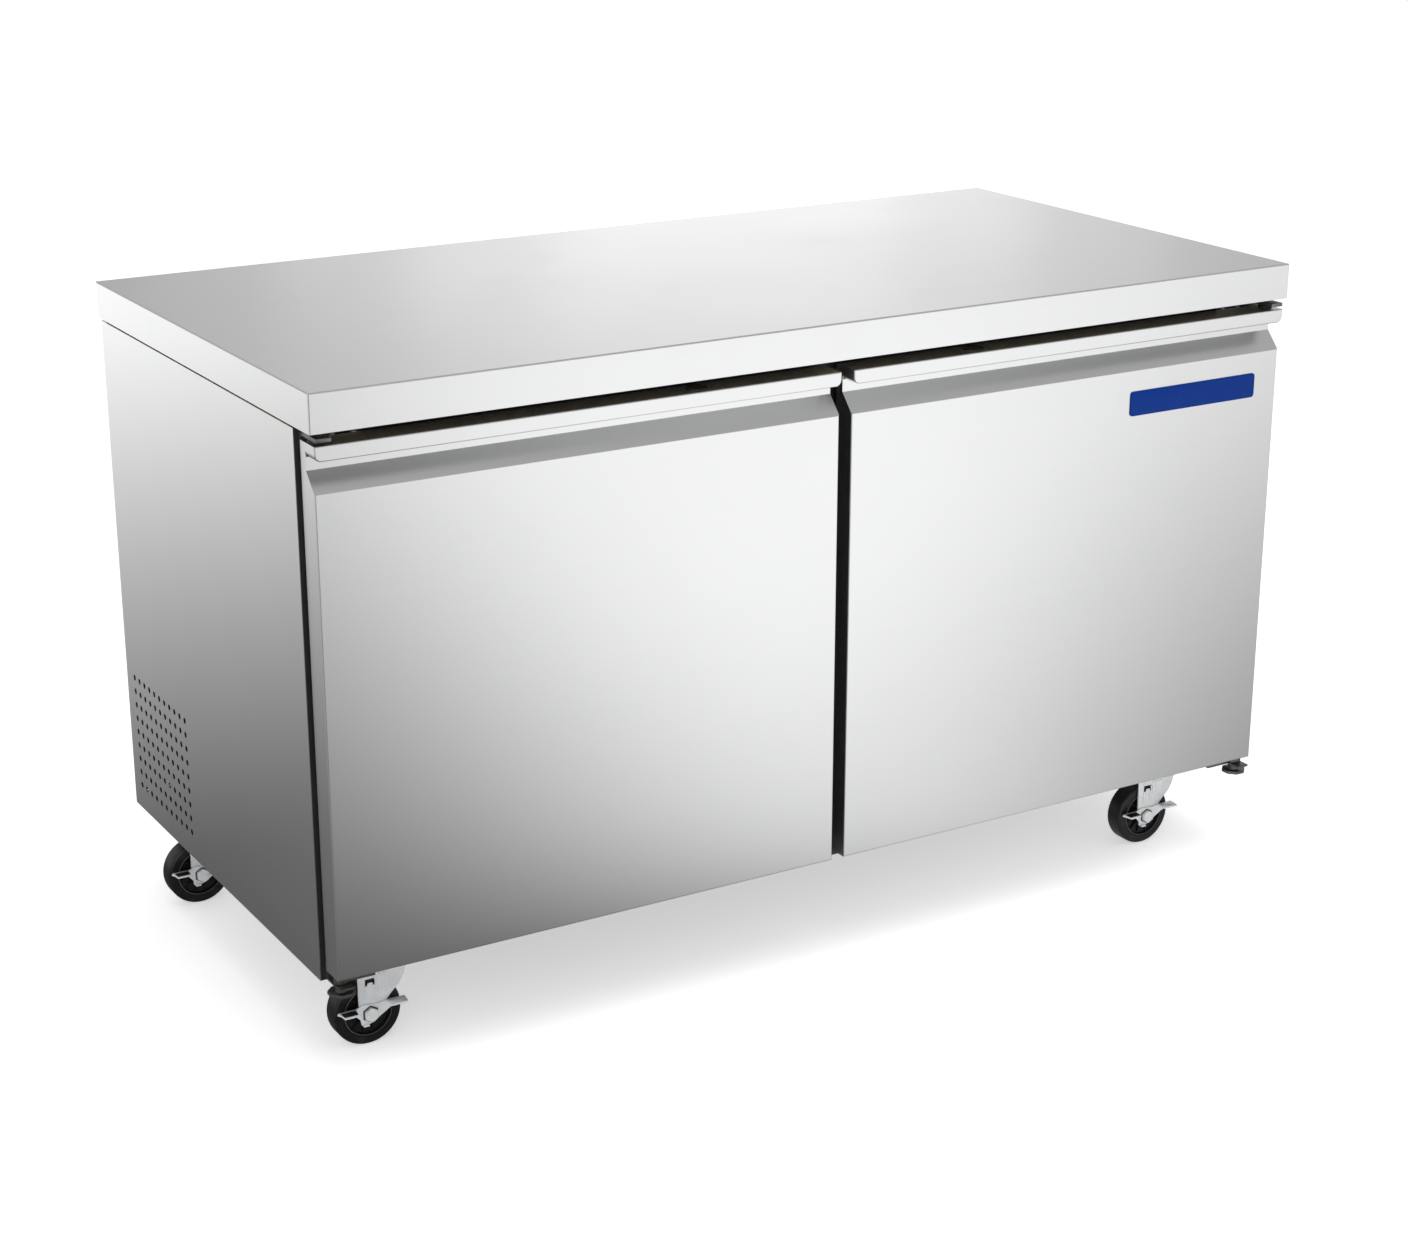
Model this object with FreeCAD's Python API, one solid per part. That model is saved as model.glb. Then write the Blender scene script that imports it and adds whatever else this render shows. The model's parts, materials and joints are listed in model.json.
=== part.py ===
# Two-door undercounter refrigerator on swivel casters.
# Millimetres. +X runs to the right of someone facing the doors, +Y to the back, +Z up.
# The origin is on the floor, under the middle of the worktop.
import FreeCAD
import Part
import math
import os

# ---- worktop and cabinet -------------------------------------------------------------------
TOP_WIDTH = 1530.0
TOP_DEPTH = 762.0
TOP_HEIGHT = 914.0  # floor to worktop surface
TOP_EDGE = 50.8  # height of the worktop's folded edge
TOP_SHEET = 1.2
TOP_HEM = 18.0  # width of the flange turned in under the edge
TOP_BEND = 2.0  # outside radius of its folds and ground corners
CASTER_HEIGHT = 127.0  # floor to underside of cabinet
SIDE_INSET = 1.5  # side panels stand this far inside the worktop's ends
BACK_INSET = 10.0
TOP_SHADOW_GAP = 3.5  # between side panel and worktop edge
PANEL_SHEET = 1.0
PANEL_RETURN = 14.0
PAN_SHEET = 1.5
PAN_LIP = 15.0
LINER_SHEET = 1.0
SIDE_WALL = 46.0  # outside of side panel to inside of liner
ROOF_WALL = 51.2  # underside of worktop to inside of liner
FLOOR_WALL = 48.0  # underside of cabinet to inside of liner
BACK_WALL = 51.0
FOAM_GAP = 0.4  # left round each slab of foam
FOAM_RECESS = 7.0  # the roof slab stops short of the worktop's ends and front

# ---- machine compartment, low at the back --------------------------------------------------
BAY_HEIGHT = 235.0  # above the cabinet's underside
BAY_DEPTH = 263.0  # forward of the back panel
BAY_WALL = 46.0  # foam and liner between bay and food compartment
VENT_COLUMNS = 11
VENT_ROWS = 9
VENT_HOLE = 9.0
VENT_PITCH_Y = 20.6
VENT_PITCH_Z = 21.1
VENT_BACK_MARGIN = 33.0  # last column of holes to the back panel
VENT_LIFT = 39.0  # lowest row of holes above the cabinet's underside
SLOT_LENGTH = 70.0
SLOT_HEIGHT = 6.0
SLOT_PITCH_X = 88.0
SLOT_PITCH_Z = 15.0
SLOT_COLUMNS = 15
SLOT_ROWS = 11

# ---- front frame ---------------------------------------------------------------------------
STRIP_THICKNESS = 6.0
STILE_WIDTH = 46.0
BOTTOM_RAIL = 51.0
TOP_RAIL = 60.0
MULLION_WIDTH = 84.0
MULLION_DEPTH = 40.0
STRIP_GAP = 0.3

# ---- doors ---------------------------------------------------------------------------------
DOOR_SETBACK = 7.0  # door front behind worktop front
LIP_SETBACK = 2.0
DOOR_GAP = 19.6  # between the two doors
DOOR_END_INSET = 6.0  # outer end of door inside the worktop's end
DOOR_DEPTH = 38.0
GASKET_DEPTH = 10.0  # back of door to front frame
DOOR_LIFT = 18.0  # bottom of door above the cabinet's underside
TOP_GAP = 15.7  # worktop edge to top of door
LIP_HEIGHT = 19.5
NECK_HEIGHT = 16.0
SLOPE_HEIGHT = 25.0
NECK_SETBACK = 30.0
LIP_CORNER = 9.0
DOOR_SHEET = 1.0
DOOR_BEND = 1.6
PANEL_RISE = 6.0  # raised field of the inner panel
GASKET_WIDTH = 18.0
GASKET_WAIST = 2.5  # how far the bellows stand in on each side
GASKET_FOOT = 2.2
GASKET_SEAL = 3.0
GASKET_SIDE_INSET = 14.0
GASKET_BOTTOM_INSET = 12.0
GASKET_TOP_INSET = 22.5
GASKET_AIR = 0.4  # left between the closed gasket and the frame
PLUG_RADIUS = 15.0
PLUG_X = 220.0  # foam filler plug from the cabinet's middle
BADGE_LENGTH = 231.0
BADGE_HEIGHT = 36.0
BADGE_END_INSET = 42.0  # from the door's outer end
BADGE_DROP = 91.0  # top of badge below top of door
BADGE_THICKNESS = 1.5

# ---- hinges --------------------------------------------------------------------------------
HINGE_INSET = 12.0  # pin from the door's outer end
HINGE_SETBACK = 27.0  # pin behind the worktop's front
PIN_RADIUS = 4.0
RUNNING_CLEARANCE = 0.05
ARM_WIDTH = 20.0
TOP_ARM = 5.0
TOP_ARM_DROP = 6.2  # top of arm below the worktop's edge
BOTTOM_ARM = 3.0
BOTTOM_ARM_LIFT = 3.0  # underside of arm above the cabinet's underside
TOP_FLANGE_LENGTH = 82.0
BOTTOM_FLANGE_LENGTH = 59.0
FLANGE_THICKNESS = 4.0
FLANGE_HEIGHT = 23.0
BUSH_RADIUS = 7.0
BUSH_LIFT = 4.0  # foot of the bush above the lip's underside
BUSH_FLANGE = 3.0
CARTRIDGE_RADIUS = 9.0
CARTRIDGE_LENGTH = 85.0
ADJUSTER_RADIUS = 17.0
ADJUSTER_SIDES = 8
ADJUSTER_DROP = 12.5  # bottom of adjuster below the arm
ADJUSTER_PLATE = 4.5
ADJUSTER_STEM = 8.0
SCREW_RADIUS = 2.5
SCREW_HEAD_RADIUS = 4.5
SCREW_HEAD = 2.4

# ---- casters -------------------------------------------------------------------------------
FRONT_KINGPIN_X = 655.0
FRONT_KINGPIN_Y = -276.0
REAR_KINGPIN_X = 685.0
REAR_KINGPIN_Y = 262.0
WHEEL_RADIUS = 48.0
WHEEL_WIDTH = 31.0
WHEEL_TRAIL = 30.0
TREAD_SHOULDER = 5.0
WEB_RADIUS = 33.0
WEB_RECESS = 5.0
HUB_RADIUS = 14.0
WHEEL_AIR = 2.0  # wheel to fork leg, each side
AXLE_RADIUS = 6.0
FORK_SHEET = 2.5
CROWN_AIR = 7.0  # wheel to the fork's crown
CROWN_SHEET = 4.0
CROWN_RADIUS = 26.0
SWIVEL_AIR = 0.3
PLATE_LENGTH = 92.0
PLATE_WIDTH = 64.0
PLATE_THICKNESS = 3.5
PLATE_BOLT_X = 76.0
PLATE_BOLT_Y = 45.0
RACE_RADIUS = 29.0
KINGPIN_RADIUS = 6.0
RIVET_RADIUS = 11.0
RIVET_HEAD = 4.0
BOLT_RADIUS = 4.0
BOLT_FLATS = 13.0
BOLT_HEAD = 5.3
BOLT_REACH = 5.5  # bolt end above the cabinet's underside
AXLE_FLATS = 17.0
AXLE_HEAD = 6.0
PEDAL_SHEET = 2.6
PEDAL_FLANGE = 15.0
LOWER_RACE = 8.0  # height of the race on the fork's crown
LEG_RIB = 2.2  # radius of the pressed ribs in a fork leg
TONGUE = 1.6  # sheet of the brake's spring tongue
BOLT_POCKET = 12.0  # half-width of the foam's relief round a caster bolt

# ---- refrigeration and fittings ------------------------------------------------------------
COMPRESSOR_X = -330.0
COMPRESSOR_RADIUS = 88.0
COMPRESSOR_HEIGHT = 186.0
COMPRESSOR_WALL = 9.0
COMPRESSOR_LIFT = 8.0  # foot plate above the base pan
COMPRESSOR_DOME = 30.0  # rounding of the can's ends
FOOT_X = 88.0  # rubber feet from the compressor's middle
FOOT_Y = 68.0
FOOT_RADIUS = 11.0
COIL_HEIGHT = 188.0
COIL_DEPTH = 216.0
COIL_THICKNESS = 56.0
COIL_LIFT = 8.0  # coil above the base pan
FAN_RADIUS = 84.0
FAN_TIP_AIR = 6.0
FAN_BLADES = 5
FAN_HUB_RADIUS = 19.0
FAN_BLADE_SHEET = 1.4
FAN_PITCH = 28.0  # degrees
EVAPORATOR_FAN_RADIUS = 60.0
MOTOR_RADIUS = 34.0
CONDENSER_MOTOR_LENGTH = 58.0
EVAPORATOR_MOTOR_LENGTH = 34.0
SHAFT_RADIUS = 3.0
COVER_WIDTH = 460.0
COVER_DEPTH = 104.0
COVER_HEIGHT = 196.0
COVER_DROP = 12.0
COVER_SHEET = 1.0
COVER_MOUTH = 66.0  # radius of the fan mouth
GUARD_PITCH = 15.0  # bars across the mouth
OUTLET_PITCH = 40.0  # slots under the cover
KNOB_RADIUS = 18.0
KNOB_DEPTH = 15.0
KNOB_FLUTE = 2.0
KNOB_FLUTE_STEP = 24  # degrees
GLAND_BORE = 4.5
GLAND_RADIUS = 9.0
GLAND_NOSE = 8.5
GLAND_END_INSET = 110.0  # gland from the cabinet's end
GLAND_LIFT = 72.0  # gland above the cabinet's underside
SHELF_LIFT = 355.0  # shelf above the cabinet's underside
SHELF_WIRE = 4.0
SHELF_RIM = 7.0
SHELF_PITCH = 25.0
SHELF_BEND = 14.0
SHELF_AIR = 4.0
PILASTER_WIDTH = 24.0
PILASTER_DEPTH = 9.0
PILASTER_SLOT_PITCH = 38.0

# ---- places worked out from the sizes above ------------------------------------------------
EPS = 1.0  # how far cutting tools run past what they cut
FRONT = -TOP_DEPTH / 2
BACK = TOP_DEPTH / 2 - BACK_INSET
HALF = TOP_WIDTH / 2 - SIDE_INSET
EDGE_Z = TOP_HEIGHT - TOP_EDGE
BASE_Z = CASTER_HEIGHT
DOOR_Y = FRONT + DOOR_SETBACK
DOOR_BACK = DOOR_Y + DOOR_DEPTH
FRAME_Y = DOOR_BACK + GASKET_DEPTH
SHELL_Y = FRAME_Y + STRIP_THICKNESS
LINER_X = HALF - SIDE_WALL
LINER_FLOOR = BASE_Z + FLOOR_WALL
LINER_ROOF = EDGE_Z - ROOF_WALL
LINER_BACK = BACK - BACK_WALL
BAY_Z = BASE_Z + BAY_HEIGHT
BAY_Y = BACK - BAY_DEPTH
STEP_Z = BAY_Z + BAY_WALL
STEP_Y = BAY_Y - BAY_WALL
OPENING_X = HALF - STILE_WIDTH - SIDE_INSET
OPENING_LOW = BASE_Z + BOTTOM_RAIL
OPENING_HIGH = EDGE_Z - TOP_RAIL
DOOR_IN = DOOR_GAP / 2
DOOR_OUT = TOP_WIDTH / 2 - DOOR_END_INSET
DOOR_LOW = BASE_Z + DOOR_LIFT
DOOR_TOP = EDGE_Z - TOP_GAP
LIP_Y = FRONT + LIP_SETBACK
LIP_LOW = DOOR_TOP - LIP_HEIGHT
NECK_Y = FRONT + NECK_SETBACK
NECK_LOW = LIP_LOW - NECK_HEIGHT
SLOPE_LOW = NECK_LOW - SLOPE_HEIGHT
PIN_X = DOOR_OUT - HINGE_INSET
PIN_Y = FRONT + HINGE_SETBACK
TOP_ARM_Z = EDGE_Z - TOP_ARM_DROP
BOTTOM_ARM_Z = BASE_Z + BOTTOM_ARM_LIFT
FLANGE_Y = FRAME_Y - FLANGE_THICKNESS
LEG_Y = WHEEL_WIDTH / 2 + WHEEL_AIR + FORK_SHEET  # outer face of a fork leg from the fork's middle
CROWN_Z = 2 * WHEEL_RADIUS + CROWN_AIR
SHELF_Z = BASE_Z + SHELF_LIFT
COVER_TOP = LINER_ROOF - COVER_DROP
COVER_Y = LINER_BACK - COVER_DEPTH
CASTERS = {
    "front_left": (-FRONT_KINGPIN_X, FRONT_KINGPIN_Y),
    "front_right": (FRONT_KINGPIN_X, FRONT_KINGPIN_Y),
    "rear_left": (-REAR_KINGPIN_X, REAR_KINGPIN_Y),
    "rear_right": (REAR_KINGPIN_X, REAR_KINGPIN_Y),
}

X = FreeCAD.Vector(1, 0, 0)
Y = FreeCAD.Vector(0, 1, 0)
Z = FreeCAD.Vector(0, 0, 1)


# ---- shape helpers -------------------------------------------------------------------------
def at(x, y, z):
    return FreeCAD.Vector(x, y, z)


def box(x0, x1, y0, y1, z0, z1):
    low = at(min(x0, x1), min(y0, y1), min(z0, z1))
    return Part.makeBox(abs(x1 - x0), abs(y1 - y0), abs(z1 - z0), low)


def rod(radius, start, end):
    run = end - start
    return Part.makeCylinder(radius, run.Length, start, run)


def tube(radius, bore, start, end):
    return rod(radius, start, end).cut(rod(bore, start, end))


def prism(points, run):
    wire = Part.makePolygon(points + points[:1])
    return Part.Face(wire).extrude(run)


def sided_bar(flats, start, run, sides=6):
    """A regular bar whose flats are this far apart, standing at start along run."""
    radius = flats / 2 / math.cos(math.pi / sides)
    along = FreeCAD.Rotation(Z, run)
    turns = [2 * math.pi * (i + 0.5) / sides for i in range(sides)]
    corners = [start + along.multVec(at(radius * math.cos(a), radius * math.sin(a), 0)) for a in turns]
    return prism(corners, run)


def spin(profile, axis_point, axis):
    """The solid swept by a closed profile of points about an axis."""
    wire = Part.makePolygon(profile + profile[:1])
    return Part.Face(wire).revolve(axis_point, axis, 360)


def joined(shapes):
    whole = shapes[0].multiFuse(shapes[1:]) if len(shapes) > 1 else shapes[0]
    return whole.removeSplitter()


def mirrored(shape):
    return shape.mirror(at(0, 0, 0), X)


def both_sides(shapes):
    return shapes + [mirrored(s) for s in shapes]


def group(shapes):
    return Part.makeCompound(shapes)


def tray(x0, x1, y0, y1, z0, z1, sheet, open_side):
    """A box of sheet with one side open, named as x, y or z with a sign."""
    inner = [x0 + sheet, x1 - sheet, y0 + sheet, y1 - sheet, z0 + sheet, z1 - sheet]
    slot = {"-x": 0, "+x": 1, "-y": 2, "+y": 3, "-z": 4, "+z": 5}[open_side]
    inner[slot] += (2 * sheet + EPS) * (1 if slot % 2 else -1)
    return box(x0, x1, y0, y1, z0, z1).cut(box(*inner))


def save(name, shape):
    shape.exportStep(f"parts/{name}.step")


# ---- worktop and outer shell ---------------------------------------------------------------
def worktop():
    half = TOP_WIDTH / 2
    block = box(-half, half, FRONT, -FRONT, EDGE_Z, TOP_HEIGHT)
    folds = [e for e in block.Edges if e.BoundBox.ZMax > EDGE_Z + EPS]
    room = box(-half + TOP_SHEET, half - TOP_SHEET, FRONT + TOP_SHEET, -FRONT - TOP_SHEET,
               EDGE_Z - EPS, TOP_HEIGHT - TOP_SHEET)
    shell = block.makeFillet(TOP_BEND, folds).cut(room)
    near = TOP_SHEET / 2
    rim = box(-half + near, half - near, FRONT + near, -FRONT - near, EDGE_Z, EDGE_Z + TOP_SHEET)
    hole = box(-half + TOP_HEM, half - TOP_HEM, FRONT + TOP_HEM, -FRONT - TOP_HEM, EDGE_Z - EPS, TOP_HEIGHT)
    return joined([shell, rim.cut(hole)])


def vent_holes():
    """The grid of round holes at the machine compartment's end."""
    holes = []
    for column in range(VENT_COLUMNS):
        y = BACK - VENT_BACK_MARGIN - column * VENT_PITCH_Y
        for row in range(VENT_ROWS):
            z = BASE_Z + VENT_LIFT + row * VENT_PITCH_Z
            inside = at(HALF - PANEL_SHEET - EPS, y, z)
            holes.append(rod(VENT_HOLE / 2, inside, at(HALF + EPS, y, z)))
    return group(holes)


def side_panel():
    """Right-hand side: a sheet with its front, top, bottom and back edges turned in."""
    top = EDGE_Z - TOP_SHADOW_GAP
    inner = HALF - PANEL_SHEET
    sheet = box(inner, HALF, FRAME_Y, BACK, BASE_Z, top)
    turned = [
        box(HALF - PANEL_RETURN, inner, SHELL_Y, SHELL_Y + PANEL_SHEET, BASE_Z, top),
        box(HALF - PANEL_RETURN, inner, BACK - PANEL_SHEET, BACK, BASE_Z, top),
        box(HALF - PANEL_RETURN, inner, SHELL_Y, BACK, BASE_Z, BASE_Z + PANEL_SHEET),
        box(HALF - PANEL_RETURN, inner, SHELL_Y, BACK, top - PANEL_SHEET, top),
    ]
    return joined([sheet] + turned).cut(vent_holes())


def back_panel():
    reach = HALF - PANEL_RETURN - FOAM_GAP
    return box(-reach, reach, BACK - PANEL_SHEET, BACK, BAY_Z, EDGE_Z - TOP_SHADOW_GAP)


def base_pan():
    reach = HALF - PANEL_SHEET - FOAM_GAP
    low = BASE_Z + PANEL_SHEET
    pan = tray(-reach, reach, SHELL_Y + PANEL_SHEET + FOAM_GAP, BACK - PANEL_SHEET - FOAM_GAP,
               low, low + PAN_LIP, PAN_SHEET, "+z")
    between = HALF - PANEL_RETURN - FOAM_GAP
    sole = box(-between, between, SHELL_Y, BACK, BASE_Z, low)
    bolt_hole = BOLT_RADIUS + FOAM_GAP
    holes = [rod(bolt_hole, p - Z * EPS, p + Z * PAN_LIP) for p in caster_bolt_places()]
    return joined([pan, sole]).cut(group(holes))


def rear_grille():
    """Louvred cover over the back of the machine compartment."""
    reach = HALF - PANEL_RETURN - FOAM_GAP
    low = BASE_Z + PANEL_SHEET + PAN_LIP + FOAM_GAP
    sheet = box(-reach, reach, BACK - PANEL_SHEET, BACK, low, BAY_Z - FOAM_GAP)
    slots = []
    for column in range(SLOT_COLUMNS):
        x = (column - (SLOT_COLUMNS - 1) / 2) * SLOT_PITCH_X
        for row in range(SLOT_ROWS):
            z = (low + BAY_Z) / 2 + (row - (SLOT_ROWS - 1) / 2) * SLOT_PITCH_Z
            slots.append(box(x - SLOT_LENGTH / 2, x + SLOT_LENGTH / 2,
                             BACK - PANEL_SHEET - EPS, BACK + EPS,
                             z - SLOT_HEIGHT / 2, z + SLOT_HEIGHT / 2))
    gland_x, gland_z = gland_place()
    gland = at(gland_x, BACK, gland_z)
    hole = rod(GLAND_RADIUS - 2, gland - Y * 2 * EPS, gland + Y * EPS)
    land = 1.4 * GLAND_RADIUS
    near = box(gland_x - land, gland_x + land, BACK - PANEL_SHEET, BACK, gland_z - land, gland_z + land)
    screw_hole = SCREW_RADIUS + FOAM_GAP
    screws = [rod(screw_hole, p - Y * 2 * EPS, p + Y * EPS) for p in grille_screw_places()]
    return joined([sheet.cut(group(slots)), near]).cut(group([hole] + screws))


def gland_place():
    return HALF - GLAND_END_INSET, BASE_Z + GLAND_LIFT


def grille_screw_places():
    low = BASE_Z + PANEL_SHEET + PAN_LIP + 9
    return [at(x * (HALF - 60), BACK, z) for x in (-1, 0, 1) for z in (low, BAY_Z - 11)]


# ---- insulation and liner ------------------------------------------------------------------
def cabinet_foam():
    """Rigid foam between shell and liner, as slabs that meet at the corners, and the worktop's core."""
    g = FOAM_GAP
    out_x = HALF - PANEL_SHEET - g
    front = SHELL_Y + PANEL_SHEET + g
    back = BACK - PANEL_SHEET - g
    wall_x = LINER_X + LINER_SHEET + g
    roof = LINER_ROOF + LINER_SHEET + g
    floor = LINER_FLOOR - LINER_SHEET - g
    step_z = STEP_Z - LINER_SHEET - g
    step_y = STEP_Y + LINER_SHEET + g
    low = BASE_Z + PANEL_SHEET + PAN_SHEET + g
    side = [(front, low + PAN_LIP), (BAY_Y, low + PAN_LIP), (BAY_Y, roof - g), (front, roof - g)]
    rear = [(BAY_Y + g, BAY_Z + g), (back, BAY_Z + g), (back, roof - g), (BAY_Y + g, roof - g)]
    walls = [prism([at(wall_x, y, z) for y, z in outline], X * (out_x - wall_x))
             for outline in (side, rear)]
    roof_slab = box(-HALF + FOAM_RECESS, HALF - FOAM_RECESS, front, back, roof, EDGE_Z - g)
    top_return = box(HALF - PANEL_RETURN - g, HALF, front - EPS, back + EPS,
                     EDGE_Z - TOP_SHADOW_GAP - PANEL_SHEET - g, EDGE_Z - TOP_SHADOW_GAP + g)
    roof_slab = roof_slab.cut(group(both_sides([top_return])))
    pan_lip_y = SHELL_Y + PANEL_SHEET + g + PAN_SHEET + g
    floor_slab = box(-wall_x + g, wall_x - g, pan_lip_y, step_y, low, floor)
    bolts = [box(p.x - BOLT_POCKET, p.x + BOLT_POCKET, p.y - BOLT_POCKET, p.y + BOLT_POCKET,
                 low - EPS, low + PAN_LIP) for p in caster_bolt_places()]
    floor_slab = floor_slab.cut(group(bolts))
    riser = box(-wall_x + g, wall_x - g, step_y + g, BAY_Y, low, BAY_Z)
    step = box(-wall_x + g, wall_x - g, step_y + g, LINER_BACK + LINER_SHEET, BAY_Z + g, step_z)
    pipes = [rod(radius + g, foot + Z * BAY_Z, foot + Z * STEP_Z) for foot, radius in riser_pipes()]
    step = step.cut(group(pipes))
    rear_slab = box(-wall_x + g, wall_x - g, LINER_BACK + LINER_SHEET + g, back, BAY_Z + g, roof - g)
    core_x = TOP_WIDTH / 2 - TOP_SHEET - g
    core_y = -FRONT - TOP_SHEET - g
    core = box(-core_x, core_x, -core_y, core_y, EDGE_Z + TOP_SHEET + g, TOP_HEIGHT - TOP_SHEET - g)
    return group(both_sides(walls) + [roof_slab, floor_slab, riser, step, rear_slab, core])


def inner_liner():
    """Stepped tub of sheet, open at the front."""
    s = LINER_SHEET
    outline = [(SHELL_Y, LINER_FLOOR), (STEP_Y, LINER_FLOOR), (STEP_Y, STEP_Z), (LINER_BACK, STEP_Z),
               (LINER_BACK, LINER_ROOF), (SHELL_Y, LINER_ROOF)]
    outer = [(SHELL_Y, LINER_FLOOR - s), (STEP_Y + s, LINER_FLOOR - s), (STEP_Y + s, STEP_Z - s),
             (LINER_BACK + s, STEP_Z - s), (LINER_BACK + s, LINER_ROOF + s), (SHELL_Y, LINER_ROOF + s)]
    skin = prism([at(-LINER_X - s, y, z) for y, z in outer], X * 2 * (LINER_X + s))
    outline[0] = (SHELL_Y - EPS, LINER_FLOOR)
    outline[-1] = (SHELL_Y - EPS, LINER_ROOF)
    room = prism([at(-LINER_X, y, z) for y, z in outline], X * 2 * LINER_X)
    pipes = [rod(radius + FOAM_GAP, foot + Z * (STEP_Z - 2 * EPS), foot + Z * (STEP_Z + EPS))
             for foot, radius in riser_pipes()]
    return skin.cut(room).cut(group(pipes))


def breaker_strips():
    """Black plastic strips that frame the two openings."""
    reach = HALF - PANEL_SHEET - STRIP_GAP
    low = BASE_Z + STRIP_GAP
    high = EDGE_Z - STRIP_GAP
    rails = [box(-reach, reach, FRAME_Y, SHELL_Y, low, OPENING_LOW),
             box(-reach, reach, FRAME_Y, SHELL_Y, OPENING_HIGH, high)]
    stile = box(OPENING_X, reach, FRAME_Y, SHELL_Y, OPENING_LOW + STRIP_GAP, OPENING_HIGH - STRIP_GAP)
    return group(rails + both_sides([stile]))


def center_mullion():
    half = MULLION_WIDTH / 2
    return box(-half, half, FRAME_Y, FRAME_Y + MULLION_DEPTH,
               OPENING_LOW + STRIP_GAP, OPENING_HIGH - STRIP_GAP)


# ---- doors, built for the right-hand side --------------------------------------------------
def door_profile(inset):
    """The door's section with its finger recess, as points in y and z, shrunk by inset."""
    half_turn = math.atan2(NECK_Y - DOOR_Y, SLOPE_HEIGHT) / 2
    slip = inset * math.tan(half_turn)
    return [
        (DOOR_BACK - inset, DOOR_LOW + inset),
        (DOOR_Y + inset, DOOR_LOW + inset),
        (DOOR_Y + inset, SLOPE_LOW - slip),
        (NECK_Y + inset, NECK_LOW - slip),
        (NECK_Y + inset, LIP_LOW + inset),
        (LIP_Y + inset, LIP_LOW + inset),
        (LIP_Y + inset, DOOR_TOP - inset),
        (DOOR_BACK - inset, DOOR_TOP - inset),
    ]


def lip_corner(end, toward, radius):
    """What rounds the lip's lower corner at one end of the door."""
    centre_x = end - toward * LIP_CORNER
    centre_z = LIP_LOW + LIP_CORNER
    block = box(centre_x, end + toward * EPS, LIP_Y - EPS, NECK_Y, LIP_LOW - EPS, centre_z)
    round_bar = rod(radius, at(centre_x, LIP_Y - EPS, centre_z), at(centre_x, NECK_Y, centre_z))
    return block.cut(round_bar)


def door_block(inset):
    points = [at(DOOR_IN + inset, y, z) for y, z in door_profile(inset)]
    block = prism(points, X * (DOOR_OUT - DOOR_IN - 2 * inset))
    corners = [lip_corner(DOOR_OUT, 1, LIP_CORNER - inset), lip_corner(DOOR_IN, -1, LIP_CORNER - inset)]
    return block.cut(group(corners))


def door_skin():
    solid = door_block(0)
    face_edges = [e for e in solid.Edges if all(abs(v.Y - DOOR_Y) < 0.01 for v in e.Vertexes)]
    lip_edges = [e for e in solid.Edges
                 if abs(e.BoundBox.YMin - LIP_Y) < 0.01 and e.BoundBox.YLength < 0.01
                 and e.BoundBox.XLength > LIP_CORNER * 2]
    solid = solid.makeFillet(DOOR_BEND, face_edges + lip_edges)
    s = DOOR_SHEET
    open_back = box(DOOR_IN + s, DOOR_OUT - s, DOOR_BACK - 2 * s, DOOR_BACK + EPS,
                    DOOR_LOW + s, DOOR_TOP - s)
    pin = at(PIN_X, PIN_Y, 0)
    bush = rod(BUSH_RADIUS + FOAM_GAP, pin + Z * (LIP_LOW + 2 * s), pin + Z * (DOOR_TOP + EPS))
    cartridge = rod(CARTRIDGE_RADIUS - 1, pin + Z * (DOOR_LOW - EPS), pin + Z * (DOOR_LOW + 2 * s))
    return solid.cut(group([door_block(s), open_back])).cut(group([bush, cartridge]))


def door_foam():
    """The door's filling: a main slab, the neck behind the finger recess, and the lip."""
    g = DOOR_SHEET + FOAM_GAP
    x0 = DOOR_IN + g
    x1 = DOOR_OUT - g
    back = DOOR_BACK - DOOR_SHEET - FOAM_GAP
    section = [(y, z) for y, z in door_profile(g)[:4]]
    section[0] = (back, DOOR_LOW + g)
    section.append((back, NECK_LOW - EPS / 2))
    section[3] = (NECK_Y + g, NECK_LOW - EPS / 2)
    slab = prism([at(x0, y, z) for y, z in section], X * (x1 - x0))
    pin = at(PIN_X, PIN_Y, DOOR_LOW)
    pocket = rod(CARTRIDGE_RADIUS + FOAM_GAP, pin, pin + Z * (CARTRIDGE_LENGTH + 2))
    neck = box(x0, x1, NECK_Y + g, back, NECK_LOW, LIP_LOW + g - EPS / 2)
    lip_end = PIN_X - BUSH_RADIUS - 2
    plug = at(PLUG_X, door_top_mid(), DOOR_TOP)
    plug_seat = rod(PLUG_RADIUS, plug - Z * 6, plug)
    lip = box(DOOR_IN + LIP_CORNER, lip_end, LIP_Y + g, back, LIP_LOW + g, DOOR_TOP - g).cut(plug_seat)
    return group([slab.cut(pocket), neck, lip])


def door_top_mid():
    return (LIP_Y + DOOR_BACK) / 2


def gasket_box():
    """The gasket's outer edges: x0, x1, z0, z1."""
    return (DOOR_IN + GASKET_SIDE_INSET, DOOR_OUT - GASKET_SIDE_INSET,
            DOOR_LOW + GASKET_BOTTOM_INSET, DOOR_TOP - GASKET_TOP_INSET)


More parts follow.
